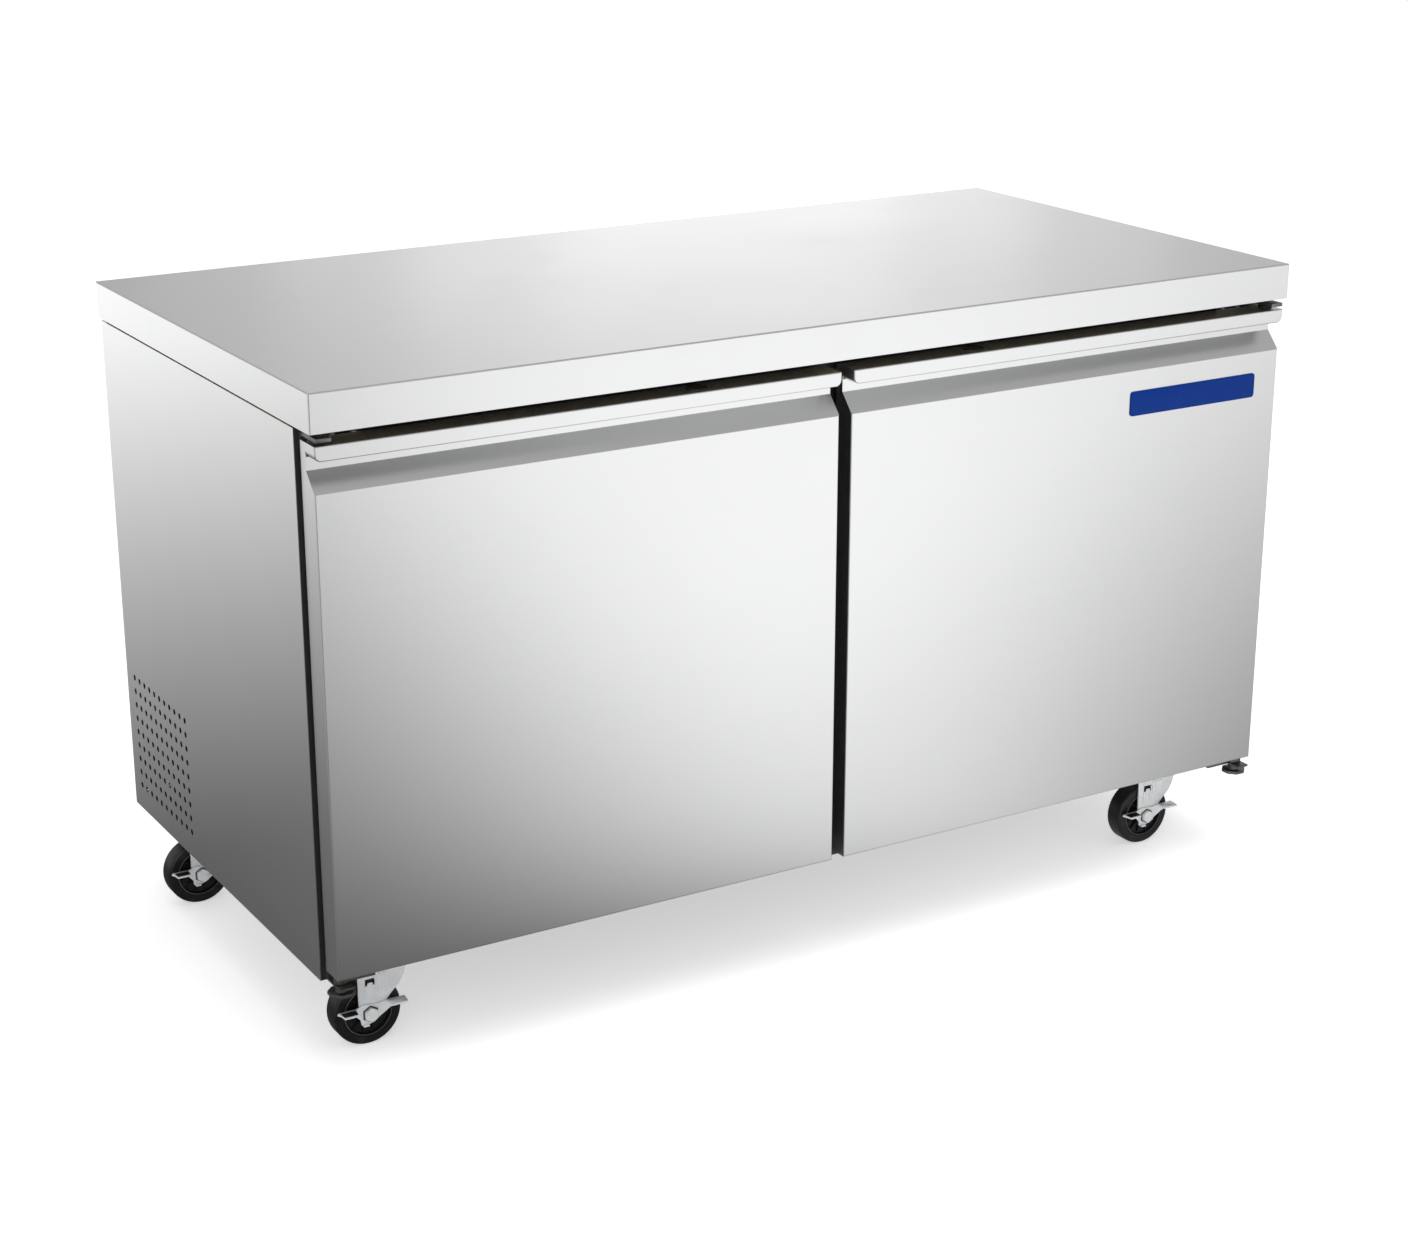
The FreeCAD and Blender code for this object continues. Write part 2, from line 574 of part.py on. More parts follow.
def door_liner():
    """Inner panel with a raised field inside the gasket."""
    s = DOOR_SHEET
    g = FOAM_GAP / 2
    plate = box(DOOR_IN + s + g, DOOR_OUT - s - g, DOOR_BACK - s, DOOR_BACK,
                DOOR_LOW + s + g, DOOR_TOP - s - g)
    x0, x1, z0, z1 = gasket_box()
    edge = GASKET_WIDTH + 4
    raised = box(x0 + edge, x1 - edge, DOOR_BACK - s, DOOR_BACK + PANEL_RISE, z0 + edge, z1 - edge)
    raised = raised.makeChamfer(PANEL_RISE - 1, [e for e in raised.Edges if e.BoundBox.YMin > DOOR_BACK])
    edge += PANEL_RISE
    hollow = box(x0 + edge, x1 - edge, DOOR_BACK - s - EPS, DOOR_BACK + PANEL_RISE - s,
                 z0 + edge, z1 - edge)
    return joined([plate, raised]).cut(hollow)


def ring(x0, x1, z0, z1, width, y0, y1):
    hole = box(x0 + width, x1 - width, y0 - EPS, y1 + EPS, z0 + width, z1 - width)
    return box(x0, x1, y0, y1, z0, z1).cut(hole)


def door_gasket():
    """Magnetic gasket: a foot, a narrower bellows and the sealing face."""
    x0, x1, z0, z1 = gasket_box()
    face = FRAME_Y - GASKET_AIR
    waist = GASKET_WAIST
    foot_top = DOOR_BACK + GASKET_FOOT
    seal_foot = face - GASKET_SEAL
    foot = ring(x0, x1, z0, z1, GASKET_WIDTH, DOOR_BACK, foot_top)
    bellows = ring(x0 + waist, x1 - waist, z0 + waist, z1 - waist, GASKET_WIDTH - 2 * waist,
                   foot_top, seal_foot)
    seal = ring(x0, x1, z0, z1, GASKET_WIDTH, seal_foot, face)
    return joined([foot, bellows, seal])


def door_bushes():
    """Top bush, sprung hinge cartridge and the foam filler plug."""
    bore = PIN_RADIUS + RUNNING_CLEARANCE
    pin = at(PIN_X, PIN_Y, 0)
    barrel = rod(BUSH_RADIUS, pin + Z * (LIP_LOW + BUSH_LIFT), pin + Z * DOOR_TOP)
    collar = rod(BUSH_RADIUS + 3, pin + Z * DOOR_TOP, pin + Z * (DOOR_TOP + BUSH_FLANGE))
    top_bore = rod(bore, pin + Z * (LIP_LOW + BUSH_LIFT + 1), pin + Z * (DOOR_TOP + 2 * BUSH_FLANGE))
    bush = joined([barrel, collar]).cut(top_bore)
    inside = DOOR_LOW + DOOR_SHEET
    shell = rod(CARTRIDGE_RADIUS, pin + Z * (inside + FOAM_GAP), pin + Z * (DOOR_LOW + CARTRIDGE_LENGTH))
    nose = rod(CARTRIDGE_RADIUS - 1 - FOAM_GAP, pin + Z * (DOOR_LOW - 3), pin + Z * (inside + 2))
    bottom_bore = rod(bore, pin + Z * (DOOR_LOW - 3 - EPS), pin + Z * (DOOR_LOW + CARTRIDGE_LENGTH - 6))
    cartridge = joined([shell, nose]).cut(bottom_bore)
    plug_low = at(PLUG_X, door_top_mid(), DOOR_TOP)
    plug = rod(PLUG_RADIUS, plug_low, plug_low + Z * 1.5)
    return group([bush, cartridge, plug])


def door_badge():
    """Blank badge with rounded ends."""
    x1 = DOOR_OUT - BADGE_END_INSET
    z1 = DOOR_TOP - BADGE_DROP
    plate = box(x1 - BADGE_LENGTH, x1, DOOR_Y - BADGE_THICKNESS, DOOR_Y, z1 - BADGE_HEIGHT, z1)
    corners = [e for e in plate.Edges if abs(e.BoundBox.YLength - BADGE_THICKNESS) < 0.01]
    return plate.makeFillet(5, corners)


# ---- hinges, built for the right-hand side -------------------------------------------------
def flange_holes(places):
    radius = SCREW_RADIUS + FOAM_GAP
    return [rod(radius, p - Y * 2 * FLANGE_THICKNESS, p + Y * EPS) for p in places]


def top_bracket():
    """Arm over the door with its riveted pin, and a flange on the front frame."""
    half = ARM_WIDTH / 2
    arm = box(PIN_X - half, PIN_X + half, FRONT + EPS, FRAME_Y, TOP_ARM_Z - TOP_ARM, TOP_ARM_Z)
    flange = box(PIN_X + half - TOP_FLANGE_LENGTH, PIN_X + half, FLANGE_Y, FRAME_Y,
                 TOP_ARM_Z - FLANGE_HEIGHT, TOP_ARM_Z)
    foot = at(PIN_X, PIN_Y, LIP_LOW + BUSH_LIFT + 2)
    pin = rod(PIN_RADIUS, foot, at(PIN_X, PIN_Y, TOP_ARM_Z))
    rivet = rod(PIN_RADIUS + 2.5, at(PIN_X, PIN_Y, TOP_ARM_Z), at(PIN_X, PIN_Y, TOP_ARM_Z + 2.5))
    return joined([arm, flange, pin, rivet]).cut(group(flange_holes(top_screw_places())))


def bottom_bracket():
    """Arm under the door, widening into a foot with a flange on the front frame."""
    half = ARM_WIDTH / 2
    inner = PIN_X + half - BOTTOM_FLANGE_LENGTH
    outline = [(PIN_X + half, FRONT + 6), (PIN_X + half, FRAME_Y), (inner, FRAME_Y), (inner, FRAME_Y - 25),
               (PIN_X - half, FRAME_Y - 25), (PIN_X - half, FRONT + 6)]
    arm = prism([at(x, y, BOTTOM_ARM_Z) for x, y in outline], Z * BOTTOM_ARM)
    flange = box(inner, PIN_X + half, FLANGE_Y, FRAME_Y, BOTTOM_ARM_Z, BOTTOM_ARM_Z + FLANGE_HEIGHT)
    pin = at(PIN_X, PIN_Y, BOTTOM_ARM_Z)
    hole = rod(ADJUSTER_STEM + FOAM_GAP, pin - Z * EPS, pin + Z * 2 * BOTTOM_ARM)
    return joined([arm, flange]).cut(group([hole] + flange_holes(bottom_screw_places())))


def spring_adjuster():
    """Pin of the lower hinge, with the disc below the arm that winds its spring."""
    pin = at(PIN_X, PIN_Y, 0)
    low = BOTTOM_ARM_Z - ADJUSTER_DROP
    arm_top = BOTTOM_ARM_Z + BOTTOM_ARM
    disc = sided_bar(2 * ADJUSTER_RADIUS, pin + Z * low, Z * ADJUSTER_PLATE, ADJUSTER_SIDES)
    stem = rod(ADJUSTER_STEM, pin + Z * (low + ADJUSTER_PLATE), pin + Z * (arm_top + 2))
    collar = rod(ADJUSTER_STEM + 2, pin + Z * (arm_top + 0.3), pin + Z * (DOOR_LOW - 3 - SWIVEL_AIR))
    shaft = rod(PIN_RADIUS, pin + Z * low, pin + Z * (DOOR_LOW + CARTRIDGE_LENGTH - 7))
    return joined([disc, stem, collar, shaft])


def top_screw_places():
    return [at(PIN_X - dx, FRAME_Y, TOP_ARM_Z - FLANGE_HEIGHT / 2 - 2) for dx in (60, 32)]


def bottom_screw_places():
    return [at(PIN_X - dx, FRAME_Y, BOTTOM_ARM_Z + FLANGE_HEIGHT / 2 + 2) for dx in (41, 25)]


# ---- casters, built about the kingpin's axis -----------------------------------------------
def caster_bolt_places():
    return [at(x + sx * PLATE_BOLT_X / 2, y + sy * PLATE_BOLT_Y / 2, BASE_Z)
            for x, y in CASTERS.values() for sx in (-1, 1) for sy in (-1, 1)]


def crown_top():
    return CROWN_Z + CROWN_SHEET


def wheel_centre():
    return at(-WHEEL_TRAIL, 0, WHEEL_RADIUS)


def caster_plate():
    """Top plate, upper race and the kingpin riveted through them."""
    low = BASE_Z - PLATE_THICKNESS
    plate = box(-PLATE_LENGTH / 2, PLATE_LENGTH / 2, -PLATE_WIDTH / 2, PLATE_WIDTH / 2, low, BASE_Z)
    plate = plate.makeFillet(8, [e for e in plate.Edges if e.BoundBox.ZLength > 1])
    feet = [at(sx * PLATE_BOLT_X / 2, sy * PLATE_BOLT_Y / 2, low) for sx in (-1, 1) for sy in (-1, 1)]
    holes = [rod(BOLT_RADIUS + FOAM_GAP, p - Z * EPS, p + Z * (PLATE_THICKNESS + EPS)) for p in feet]
    race_low = crown_top() + LOWER_RACE + SWIVEL_AIR
    race = Part.makeCone(RACE_RADIUS - 5, RACE_RADIUS, low - race_low, at(0, 0, race_low))
    rivet_low = CROWN_Z - SWIVEL_AIR - RIVET_HEAD
    pin = rod(KINGPIN_RADIUS, at(0, 0, rivet_low), at(0, 0, low))
    head = rod(RIVET_RADIUS, at(0, 0, rivet_low), at(0, 0, CROWN_Z - SWIVEL_AIR))
    return joined([plate.cut(group(holes)), race, pin, head])


def fork_leg_outline():
    """The front leg's edge, as u along the fork from the axle and z above the floor."""
    top = crown_top()
    reach = WHEEL_TRAIL + CROWN_RADIUS - 2
    r = 2 * AXLE_RADIUS
    foot = [(-r - 1, WHEEL_RADIUS), (-r * 0.7, WHEEL_RADIUS - r * 0.8), (0, WHEEL_RADIUS - r),
            (r * 0.7, WHEEL_RADIUS - r * 0.8), (r + 1, WHEEL_RADIUS)]
    horn = [(reach - 24, WHEEL_RADIUS + 20), (reach - 10, WHEEL_RADIUS + 34),
            (reach - 3, WHEEL_RADIUS + 46), (reach, top)]
    return foot + horn + [(-r - 3, top), (-r - 3, WHEEL_RADIUS + 14)]


def caster_fork():
    """Pressed fork: crown, lower race, two legs, their stiffening ribs and the brake's spring tongue."""
    outline = fork_leg_outline()
    leg = prism([at(u - WHEEL_TRAIL, -LEG_Y, z) for u, z in outline], Y * FORK_SHEET)
    window = box(-5 - WHEEL_TRAIL, 9 - WHEEL_TRAIL, -LEG_Y - EPS, -LEG_Y + FORK_SHEET + EPS,
                 WHEEL_RADIUS + 40, WHEEL_RADIUS + 49)
    tongue = box(-6 - WHEEL_TRAIL, 8 - WHEEL_TRAIL, -LEG_Y - TONGUE, -LEG_Y,
                 WHEEL_RADIUS + 22, WHEEL_RADIUS + 40)
    rib_y = -LEG_Y + FORK_SHEET / 2 - 0.05
    rib_feet = [at(u - WHEEL_TRAIL, rib_y, 0) for u in (16, 24)]
    ribs = [rod(LEG_RIB, p + Z * (WHEEL_RADIUS + 26), p + Z * (CROWN_Z - 2)) for p in rib_feet]
    front_leg = joined([leg.cut(window), tongue] + ribs)
    rear_leg = front_leg.mirror(at(0, 0, 0), Y)
    left = min(u for u, z in outline) - WHEEL_TRAIL
    right = max(u for u, z in outline) - WHEEL_TRAIL
    crown = box(left, right, -LEG_Y, LEG_Y, CROWN_Z, crown_top())
    race = Part.makeCone(CROWN_RADIUS, CROWN_RADIUS - 5, LOWER_RACE, at(0, 0, crown_top()))
    whole = joined([front_leg, rear_leg, crown, race])
    race_top = crown_top() + LOWER_RACE
    kingpin = rod(KINGPIN_RADIUS + RUNNING_CLEARANCE, Z * (CROWN_Z - EPS), Z * (race_top + EPS))
    axle = rod(AXLE_RADIUS, wheel_centre() - Y * (LEG_Y + EPS), wheel_centre() + Y * (LEG_Y + EPS))
    return whole.cut(group([kingpin, axle]))


def caster_wheel():
    """Soft tread on a recessed core, bored for the axle."""
    half = WHEEL_WIDTH / 2
    bore = AXLE_RADIUS + RUNNING_CLEARANCE
    side = [(bore, half), (HUB_RADIUS, half), (HUB_RADIUS, half - WEB_RECESS),
            (WEB_RADIUS - 1.5, half - WEB_RECESS), (WEB_RADIUS, half - 2), (WEB_RADIUS + 1, half - 1),
            (WEB_RADIUS + 2, half), (WHEEL_RADIUS - TREAD_SHOULDER, half)]
    turns = [math.radians(a) for a in (22.5, 45, 67.5, 90)]
    shoulder = [(WHEEL_RADIUS - TREAD_SHOULDER * (1 - math.sin(a)), half - TREAD_SHOULDER * (1 - math.cos(a)))
                for a in turns]
    near = side + shoulder
    far = [(r, -y) for r, y in reversed(near)]
    profile = [at(r - WHEEL_TRAIL, y, WHEEL_RADIUS) for r, y in near + far]
    return spin(profile, wheel_centre(), Y)


def pedal_y():
    """Outer face of the brake pedal's plate."""
    return -LEG_Y - SWIVEL_AIR - PEDAL_SHEET


def caster_axle():
    """Axle bolt and its nut."""
    start = wheel_centre() + Y * (pedal_y() - SWIVEL_AIR)
    shank = rod(AXLE_RADIUS - RUNNING_CLEARANCE, start, wheel_centre() + Y * (LEG_Y + AXLE_HEAD + 2))
    head = sided_bar(AXLE_FLATS, start, Y * -AXLE_HEAD)
    nut = sided_bar(AXLE_FLATS, wheel_centre() + Y * LEG_Y, Y * AXLE_HEAD)
    return joined([shank, head, nut])


def brake_pedal():
    """Rocking pedal: a plate on the axle bolt with a tread turned out at each end."""
    outline = [(-46, 8), (-44, 10.5), (-21, 10.5), (-10, 14), (0, 13), (11, 12), (23, 14), (50, 14), (52, 11),
               (29, 3), (14, -6), (6, -12), (-4, -15), (-13, -14), (-14, -7), (-22, 2), (-32, 1)]
    outer = pedal_y()
    plate = prism([at(u - WHEEL_TRAIL, outer, WHEEL_RADIUS + w) for u, w in outline], Y * PEDAL_SHEET)

    def turned_out(u0, u1, w, tip):
        points = [(u0, outer), (u1, outer), (u1 - tip, outer - PEDAL_FLANGE), (u0 + 2, outer - PEDAL_FLANGE)]
        return prism([at(u - WHEEL_TRAIL, y, WHEEL_RADIUS + w) for u, y in points], Z * PEDAL_SHEET)

    left = turned_out(-44, -20, 10.5 - PEDAL_SHEET, 3)
    right = turned_out(22, 50, 14 - PEDAL_SHEET, 2)
    tab = box(-12 - WHEEL_TRAIL, -4 - WHEEL_TRAIL, outer - 5, outer + EPS,
              WHEEL_RADIUS - 15, WHEEL_RADIUS - 12.6)
    bore_start = wheel_centre() + Y * (outer - EPS)
    bore = rod(AXLE_RADIUS, bore_start, bore_start + Y * (2 * PEDAL_SHEET + EPS))
    return joined([plate, left, right, tab]).cut(bore)


# ---- machine compartment -------------------------------------------------------------------
def bay_floor():
    return BASE_Z + PANEL_SHEET + PAN_SHEET


def compressor():
    """Welded steel can on a foot plate."""
    foot_z = bay_floor() + COMPRESSOR_LIFT
    centre = at(COMPRESSOR_X, (BAY_Y + BACK) / 2, foot_z + 3)
    can = rod(COMPRESSOR_RADIUS, centre, centre + Z * COMPRESSOR_HEIGHT)
    can = can.makeFillet(COMPRESSOR_DOME, [e for e in can.Edges if e.BoundBox.ZLength < 0.1])
    inner = rod(COMPRESSOR_RADIUS - COMPRESSOR_WALL, centre + Z * COMPRESSOR_WALL,
                centre + Z * (COMPRESSOR_HEIGHT - COMPRESSOR_WALL))
    inner = inner.makeFillet(COMPRESSOR_DOME - 4, [e for e in inner.Edges if e.BoundBox.ZLength < 0.1])
    plate = box(centre.x - 105, centre.x + 105, centre.y - 85, centre.y + 85, foot_z, foot_z + 3.5)
    places = [at(centre.x + sx * FOOT_X, centre.y + sy * FOOT_Y, foot_z) for sx in (-1, 1) for sy in (-1, 1)]
    feet = [rod(FOOT_RADIUS, p - Z * COMPRESSOR_LIFT, p) for p in places]
    seam = rod(COMPRESSOR_RADIUS + 4, centre + Z * 92, centre + Z * 97)
    side = centre.x + COMPRESSOR_RADIUS
    terminal = box(side - 8, side + 26, centre.y - 24, centre.y + 24, centre.z + 50, centre.z + 96)
    return joined([can, plate, seam, terminal] + feet).cut(inner)


def condenser_x():
    """Left-hand face of the condenser, next to the left vents."""
    return -HALF + 46


def fin_pack(low, size, fins, axis, rows):
    """Coil block: thin fins across two headers' worth of straight tubes, in one solid."""
    pieces = []
    step = size[axis] / (fins - 1)
    for i in range(fins):
        a = list(low)
        b = [low[k] + size[k] for k in range(3)]
        a[axis] = low[axis] + i * step - 0.5
        b[axis] = low[axis] + i * step + 0.5
        pieces.append(box(a[0], b[0], a[1], b[1], a[2], b[2]))
    flow = min((k for k in range(3) if k != axis), key=lambda k: size[k])
    rise = 3 - axis - flow
    for row in range(rows):
        start = [low[k] + size[k] / 2 for k in range(3)]
        start[rise] = low[rise] + size[rise] * (row + 0.5) / rows
        start[axis] = low[axis] - 6
        end = list(start)
        end[axis] = low[axis] + size[axis] + 6
        pieces.append(rod(5, at(*start), at(*end)))
    return joined(pieces)


def condenser_coil():
    low = [condenser_x(), (BAY_Y + BACK - COIL_DEPTH) / 2, bay_floor() + COIL_LIFT]
    return fin_pack(low, [COIL_THICKNESS, COIL_DEPTH, COIL_HEIGHT], 28, 1, 6)


def condenser_fan_centre():
    middle_z = bay_floor() + COIL_LIFT + COIL_HEIGHT / 2
    return at(condenser_x() + COIL_THICKNESS + 34, (BAY_Y + BACK) / 2, middle_z)


def condenser_shroud():
    """Sheet box behind the coil with a round mouth for the fan."""
    c = condenser_fan_centre()
    half = COIL_DEPTH / 2
    face = c.x - 8
    shell = tray(condenser_x() + COIL_THICKNESS + 1, face + 1, c.y - half, c.y + half,
                 c.z - COIL_HEIGHT / 2, c.z + COIL_HEIGHT / 2, 1, "-x")
    mouth = FAN_RADIUS + FAN_TIP_AIR
    collar = tube(mouth + 1.5, mouth, at(face, c.y, c.z), at(face + 16, c.y, c.z))
    hole = rod(mouth, at(face - 5, c.y, c.z), at(face + 5, c.y, c.z))
    return joined([shell.cut(hole), collar])


def fan_blade(radius, blades):
    """Fan about +Z at the origin: a hub bored for the shaft and twisted blades."""
    hub = rod(FAN_HUB_RADIUS, at(0, 0, -9), at(0, 0, 9))
    pieces = [hub]
    for i in range(blades):
        half = FAN_BLADE_SHEET / 2
        blade = box(FAN_HUB_RADIUS - 3, radius - 2, -26, 26, -half, half)
        blade = blade.common(rod(radius, at(0, 0, -9), at(0, 0, 9)))
        blade.rotate(at(0, 0, 0), X, FAN_PITCH)
        blade.rotate(at(0, 0, 0), Z, 360 * i / blades)
        pieces.append(blade)
    return joined(pieces).cut(rod(SHAFT_RADIUS + RUNNING_CLEARANCE, at(0, 0, -10), at(0, 0, 10)))


def placed(shape, centre, axis):
    moved = shape.copy()
    moved.Placement = FreeCAD.Placement(centre, FreeCAD.Rotation(Z, axis))
    return moved


def fan_motor(length, reach, strut):
    """Shaded-pole motor behind a fan at the origin, with its shaft and mounting arms."""
    body = rod(MOTOR_RADIUS, at(0, 0, 16), at(0, 0, 16 + length))
    body = body.makeFillet(5, [e for e in body.Edges if e.BoundBox.ZLength < 0.1])
    shaft = rod(SHAFT_RADIUS, at(0, 0, -8), at(0, 0, 20))
    arms = [box(-reach, reach, -6, 6, 30, 33), box(-6, 6, -reach, reach, 30, 33)]
    ends = [box(sx * reach, sx * (reach - 3), -6, 6, strut, 33) for sx in (-1, 1)]
    ends += [box(-6, 6, sy * reach, sy * (reach - 3), strut, 33) for sy in (-1, 1)]
    return joined([body, shaft] + arms + ends)


def condensate_pan():
    c = at(60, (BAY_Y + BACK) / 2, bay_floor())
    return tray(c.x - 150, c.x + 150, c.y - 95, c.y + 95, c.z, c.z + 42, 1.5, "+z")


def electrical_box():
    c = at(HALF - 200, BAY_Y + 60, bay_floor())
    case = box(c.x - 70, c.x + 70, c.y - 40, c.y + 40, c.z, c.z + 95)
    case = case.makeFillet(4, [e for e in case.Edges if e.BoundBox.ZLength > 50])
    lid = box(c.x - 66, c.x + 66, c.y - 36, c.y + 36, c.z + 95, c.z + 98)
    return joined([case, lid])


def cord_gland():
    """Strain-relief bushing in the rear grille, where the supply cord comes out."""
    x, z = gland_place()
    start = at(x, BACK - PANEL_SHEET - 9, z)
    body = rod(GLAND_RADIUS - 2.2, start, at(x, BACK + 0.2, z))
    flange = rod(GLAND_RADIUS + 3, at(x, BACK + 0.2, z), at(x, BACK + 3.2, z))
    nose = Part.makeCone(GLAND_RADIUS, GLAND_RADIUS - 2, GLAND_NOSE - 3, at(x, BACK + 3.2, z), Y)
    bore = rod(GLAND_BORE, start - Y * EPS, at(x, BACK + GLAND_NOSE + 2 * EPS, z))
    return joined([body, flange, nose]).cut(bore)


def riser_pipes():
    """Pipes that climb through the step to the evaporator: foot point and radius of each."""
    y = LINER_BACK - 12
    return [(at(-7, y, 0), 5.0), (at(7, y, 0), 3.2), (at(-62, y, 0), 8.0)]


def pipe(points, radius, bend):
    """A tube along straight runs with a bend of this radius at each corner."""
    edges = []
    start = points[0]
    for i in range(1, len(points) - 1):
        before = (points[i - 1] - points[i]).normalize()
        after = (points[i + 1] - points[i]).normalize()
        into = points[i] + before * bend
        out = points[i] + after * bend
        middle = points[i] + (before + after) * bend * (1 - math.sqrt(0.5))
        edges.append(Part.LineSegment(start, into).toShape())
        edges.append(Part.Arc(into, middle, out).toShape())
        start = out
    edges.append(Part.LineSegment(start, points[-1]).toShape())
    path = Part.Wire(edges)
    ring_wire = Part.Wire([Part.Circle(points[0], points[1] - points[0], radius).toShape()])
    return path.makePipeShell([ring_wire], True, False)


def refrigerant_lines():
    """Suction and liquid lines, the hot-gas line to the condenser, the drain and the filter drier."""
    suction, liquid, drain = [p for p, r in riser_pipes()]
    middle_y = (BAY_Y + BACK) / 2
    top = COVER_TOP - COVER_HEIGHT - 2
    low = bay_floor() + 118
    out = COMPRESSOR_X + COMPRESSOR_RADIUS + 60
    left = COMPRESSOR_X - COMPRESSOR_RADIUS - 0.3
    coil_x = condenser_x() + COIL_THICKNESS / 2
    coil_y = (BAY_Y + BACK - COIL_DEPTH) / 2 - 6.3
    gas = pipe([at(left, middle_y, low), at(left - 80, middle_y, low), at(left - 80, coil_y - 11, low),
                at(coil_x, coil_y - 11, low), at(coil_x, coil_y, low)], 3.2, 9)
    right = COMPRESSOR_X + COMPRESSOR_RADIUS + 0.3
    suction_line = pipe([at(right, middle_y, low), at(suction.x, middle_y, low),
                         suction + Z * low, suction + Z * top], 5.0, 15)
    front_y = BAY_Y + 22
    drier = rod(12, at(out + 30, front_y, low), at(out + 130, front_y, low))
    liquid_line = pipe([at(out + 130.2, front_y, low), at(liquid.x, front_y, low),
                        liquid + Z * low, liquid + Z * top], 3.2, 12)
    drain_line = rod(8, drain + Z * (bay_floor() + 60), drain + Z * top)
    return group([gas, suction_line, drier, liquid_line, drain_line])


# ---- inside the food compartment -----------------------------------------------------------
def evaporator_fan_centre():
    return at(0, COVER_Y + 16, COVER_TOP - COVER_HEIGHT / 2)


def knob_place():
    return at(COVER_WIDTH / 2 - 46, COVER_Y, COVER_TOP - COVER_HEIGHT / 2)


def evaporator_cover():
    """Sheet cover over the coil, with a fan mouth, outlet slots and a hole for the thermostat."""
    half = COVER_WIDTH / 2
    low = COVER_TOP - COVER_HEIGHT
    shell = tray(-half, half, COVER_Y, LINER_BACK - FOAM_GAP, low, COVER_TOP, COVER_SHEET, "+y")
    c = evaporator_fan_centre()
    near = COVER_Y - EPS
    far = COVER_Y + 2 * EPS
    heights = [c.z + i * GUARD_PITCH for i in range(-4, 5)]
    bars = [box(-half, half, near, far, z - 2, z + 2) for z in heights]
    mouth = rod(COVER_MOUTH, at(c.x, near, c.z), at(c.x, far, c.z)).cut(group(bars))
    middles = [i * OUTLET_PITCH for i in range(-5, 6)]
    slots = [box(x - 8, x + 8, COVER_Y + 20, LINER_BACK - 30, low - EPS, low + 2 * EPS) for x in middles]
    spindle = rod(5, knob_place() - Y * EPS, knob_place() + Y * 2 * EPS)
    return shell.cut(group([mouth, spindle] + slots))


def evaporator_coil():
    half = COVER_WIDTH / 2 - 30
    low = [-half, LINER_BACK - 32, COVER_TOP - COVER_HEIGHT + 14]
    return fin_pack(low, [2 * half, 26, COVER_HEIGHT - 30], 40, 0, 5)


def thermostat():
    """Temperature control behind the cover, with the spindle its knob turns on."""
    p = knob_place()
    case = box(p.x - 22, p.x + 22, COVER_Y + COVER_SHEET + 0.3, COVER_Y + 36, p.z - 28, p.z + 28)
    spindle = rod(SHAFT_RADIUS, at(p.x, COVER_Y - KNOB_DEPTH + 4, p.z), at(p.x, COVER_Y + 4, p.z))
    return joined([case, spindle])


def thermostat_knob():
    """Ribbed knob with a raised pointer."""
    p = knob_place()
    front = at(p.x, COVER_Y - KNOB_DEPTH, p.z)
    skirt = Part.makeCone(KNOB_RADIUS - 3, KNOB_RADIUS, KNOB_DEPTH - 0.5, front, Y)
    turns = [math.radians(a) for a in range(0, 360, KNOB_FLUTE_STEP)]
    feet = [p + at(KNOB_RADIUS * math.cos(a), 0, KNOB_RADIUS * math.sin(a)) for a in turns]
    flutes = [rod(KNOB_FLUTE, foot - Y * (KNOB_DEPTH + EPS), foot) for foot in feet]
    pointer = box(p.x - 1.2, p.x + 1.2, front.y - 1, front.y + EPS, p.z, p.z + KNOB_RADIUS - 5)
    bore = rod(SHAFT_RADIUS + RUNNING_CLEARANCE, front + Y * 3, p + Y * EPS)
    return joined([skirt.cut(group(flutes)), pointer]).cut(bore)


def pilaster_places():
    """Feet of the slotted uprights: x, y and the way each one faces."""
    wall = LINER_X - PILASTER_DEPTH
    return [(wall, FRAME_Y + 76), (wall, LINER_BACK - 40)]


def shelf_pilasters():
    low = STEP_Z + 20
    high = LINER_ROOF - 40
    uprights = []
    for x, y in pilaster_places():
        upright = tray(x, LINER_X - FOAM_GAP, y - PILASTER_WIDTH / 2, y + PILASTER_WIDTH / 2,
                       low, high, 1.5, "+x")
        count = int((high - low) // PILASTER_SLOT_PITCH)
        heights = [low + PILASTER_SLOT_PITCH * (i + 0.5) for i in range(count)]
        slots = [box(x - EPS, x + 2 * EPS, y - 5, y + 5, z - 2, z + 2) for z in heights]
        uprights.append(upright.cut(group(slots)))
    half = MULLION_WIDTH / 2
    mullion_back = FRAME_Y + MULLION_DEPTH
    uprights.append(box(half - PILASTER_WIDTH, half, mullion_back, mullion_back + PILASTER_DEPTH, low, high))
    wall = LINER_BACK - FOAM_GAP
    below_cover = COVER_TOP - COVER_HEIGHT - 20
    uprights.append(box(half - PILASTER_WIDTH, half, wall - PILASTER_DEPTH, wall, low, below_cover))
    return group(both_sides(uprights))


def shelf_clips():
    """Bent clips hooked on the uprights; the shelves rest on them."""
    top = SHELF_Z - SHELF_RIM / 2 - FOAM_GAP
    clips = [box(x - 14, x - FOAM_GAP, y - 6, y + 6, top - 5, top) for x, y in pilaster_places()]
    half = MULLION_WIDTH / 2
    mullion_back = FRAME_Y + MULLION_DEPTH + PILASTER_DEPTH
    clips.append(box(half - 16, half + 8, mullion_back + FOAM_GAP, mullion_back + 20, top - 5, top))
    back = LINER_BACK - PILASTER_DEPTH - 2 * FOAM_GAP
    clips.append(box(half - 16, half + 8, back - 20, back, top - 5, top))
    return group(both_sides(clips))


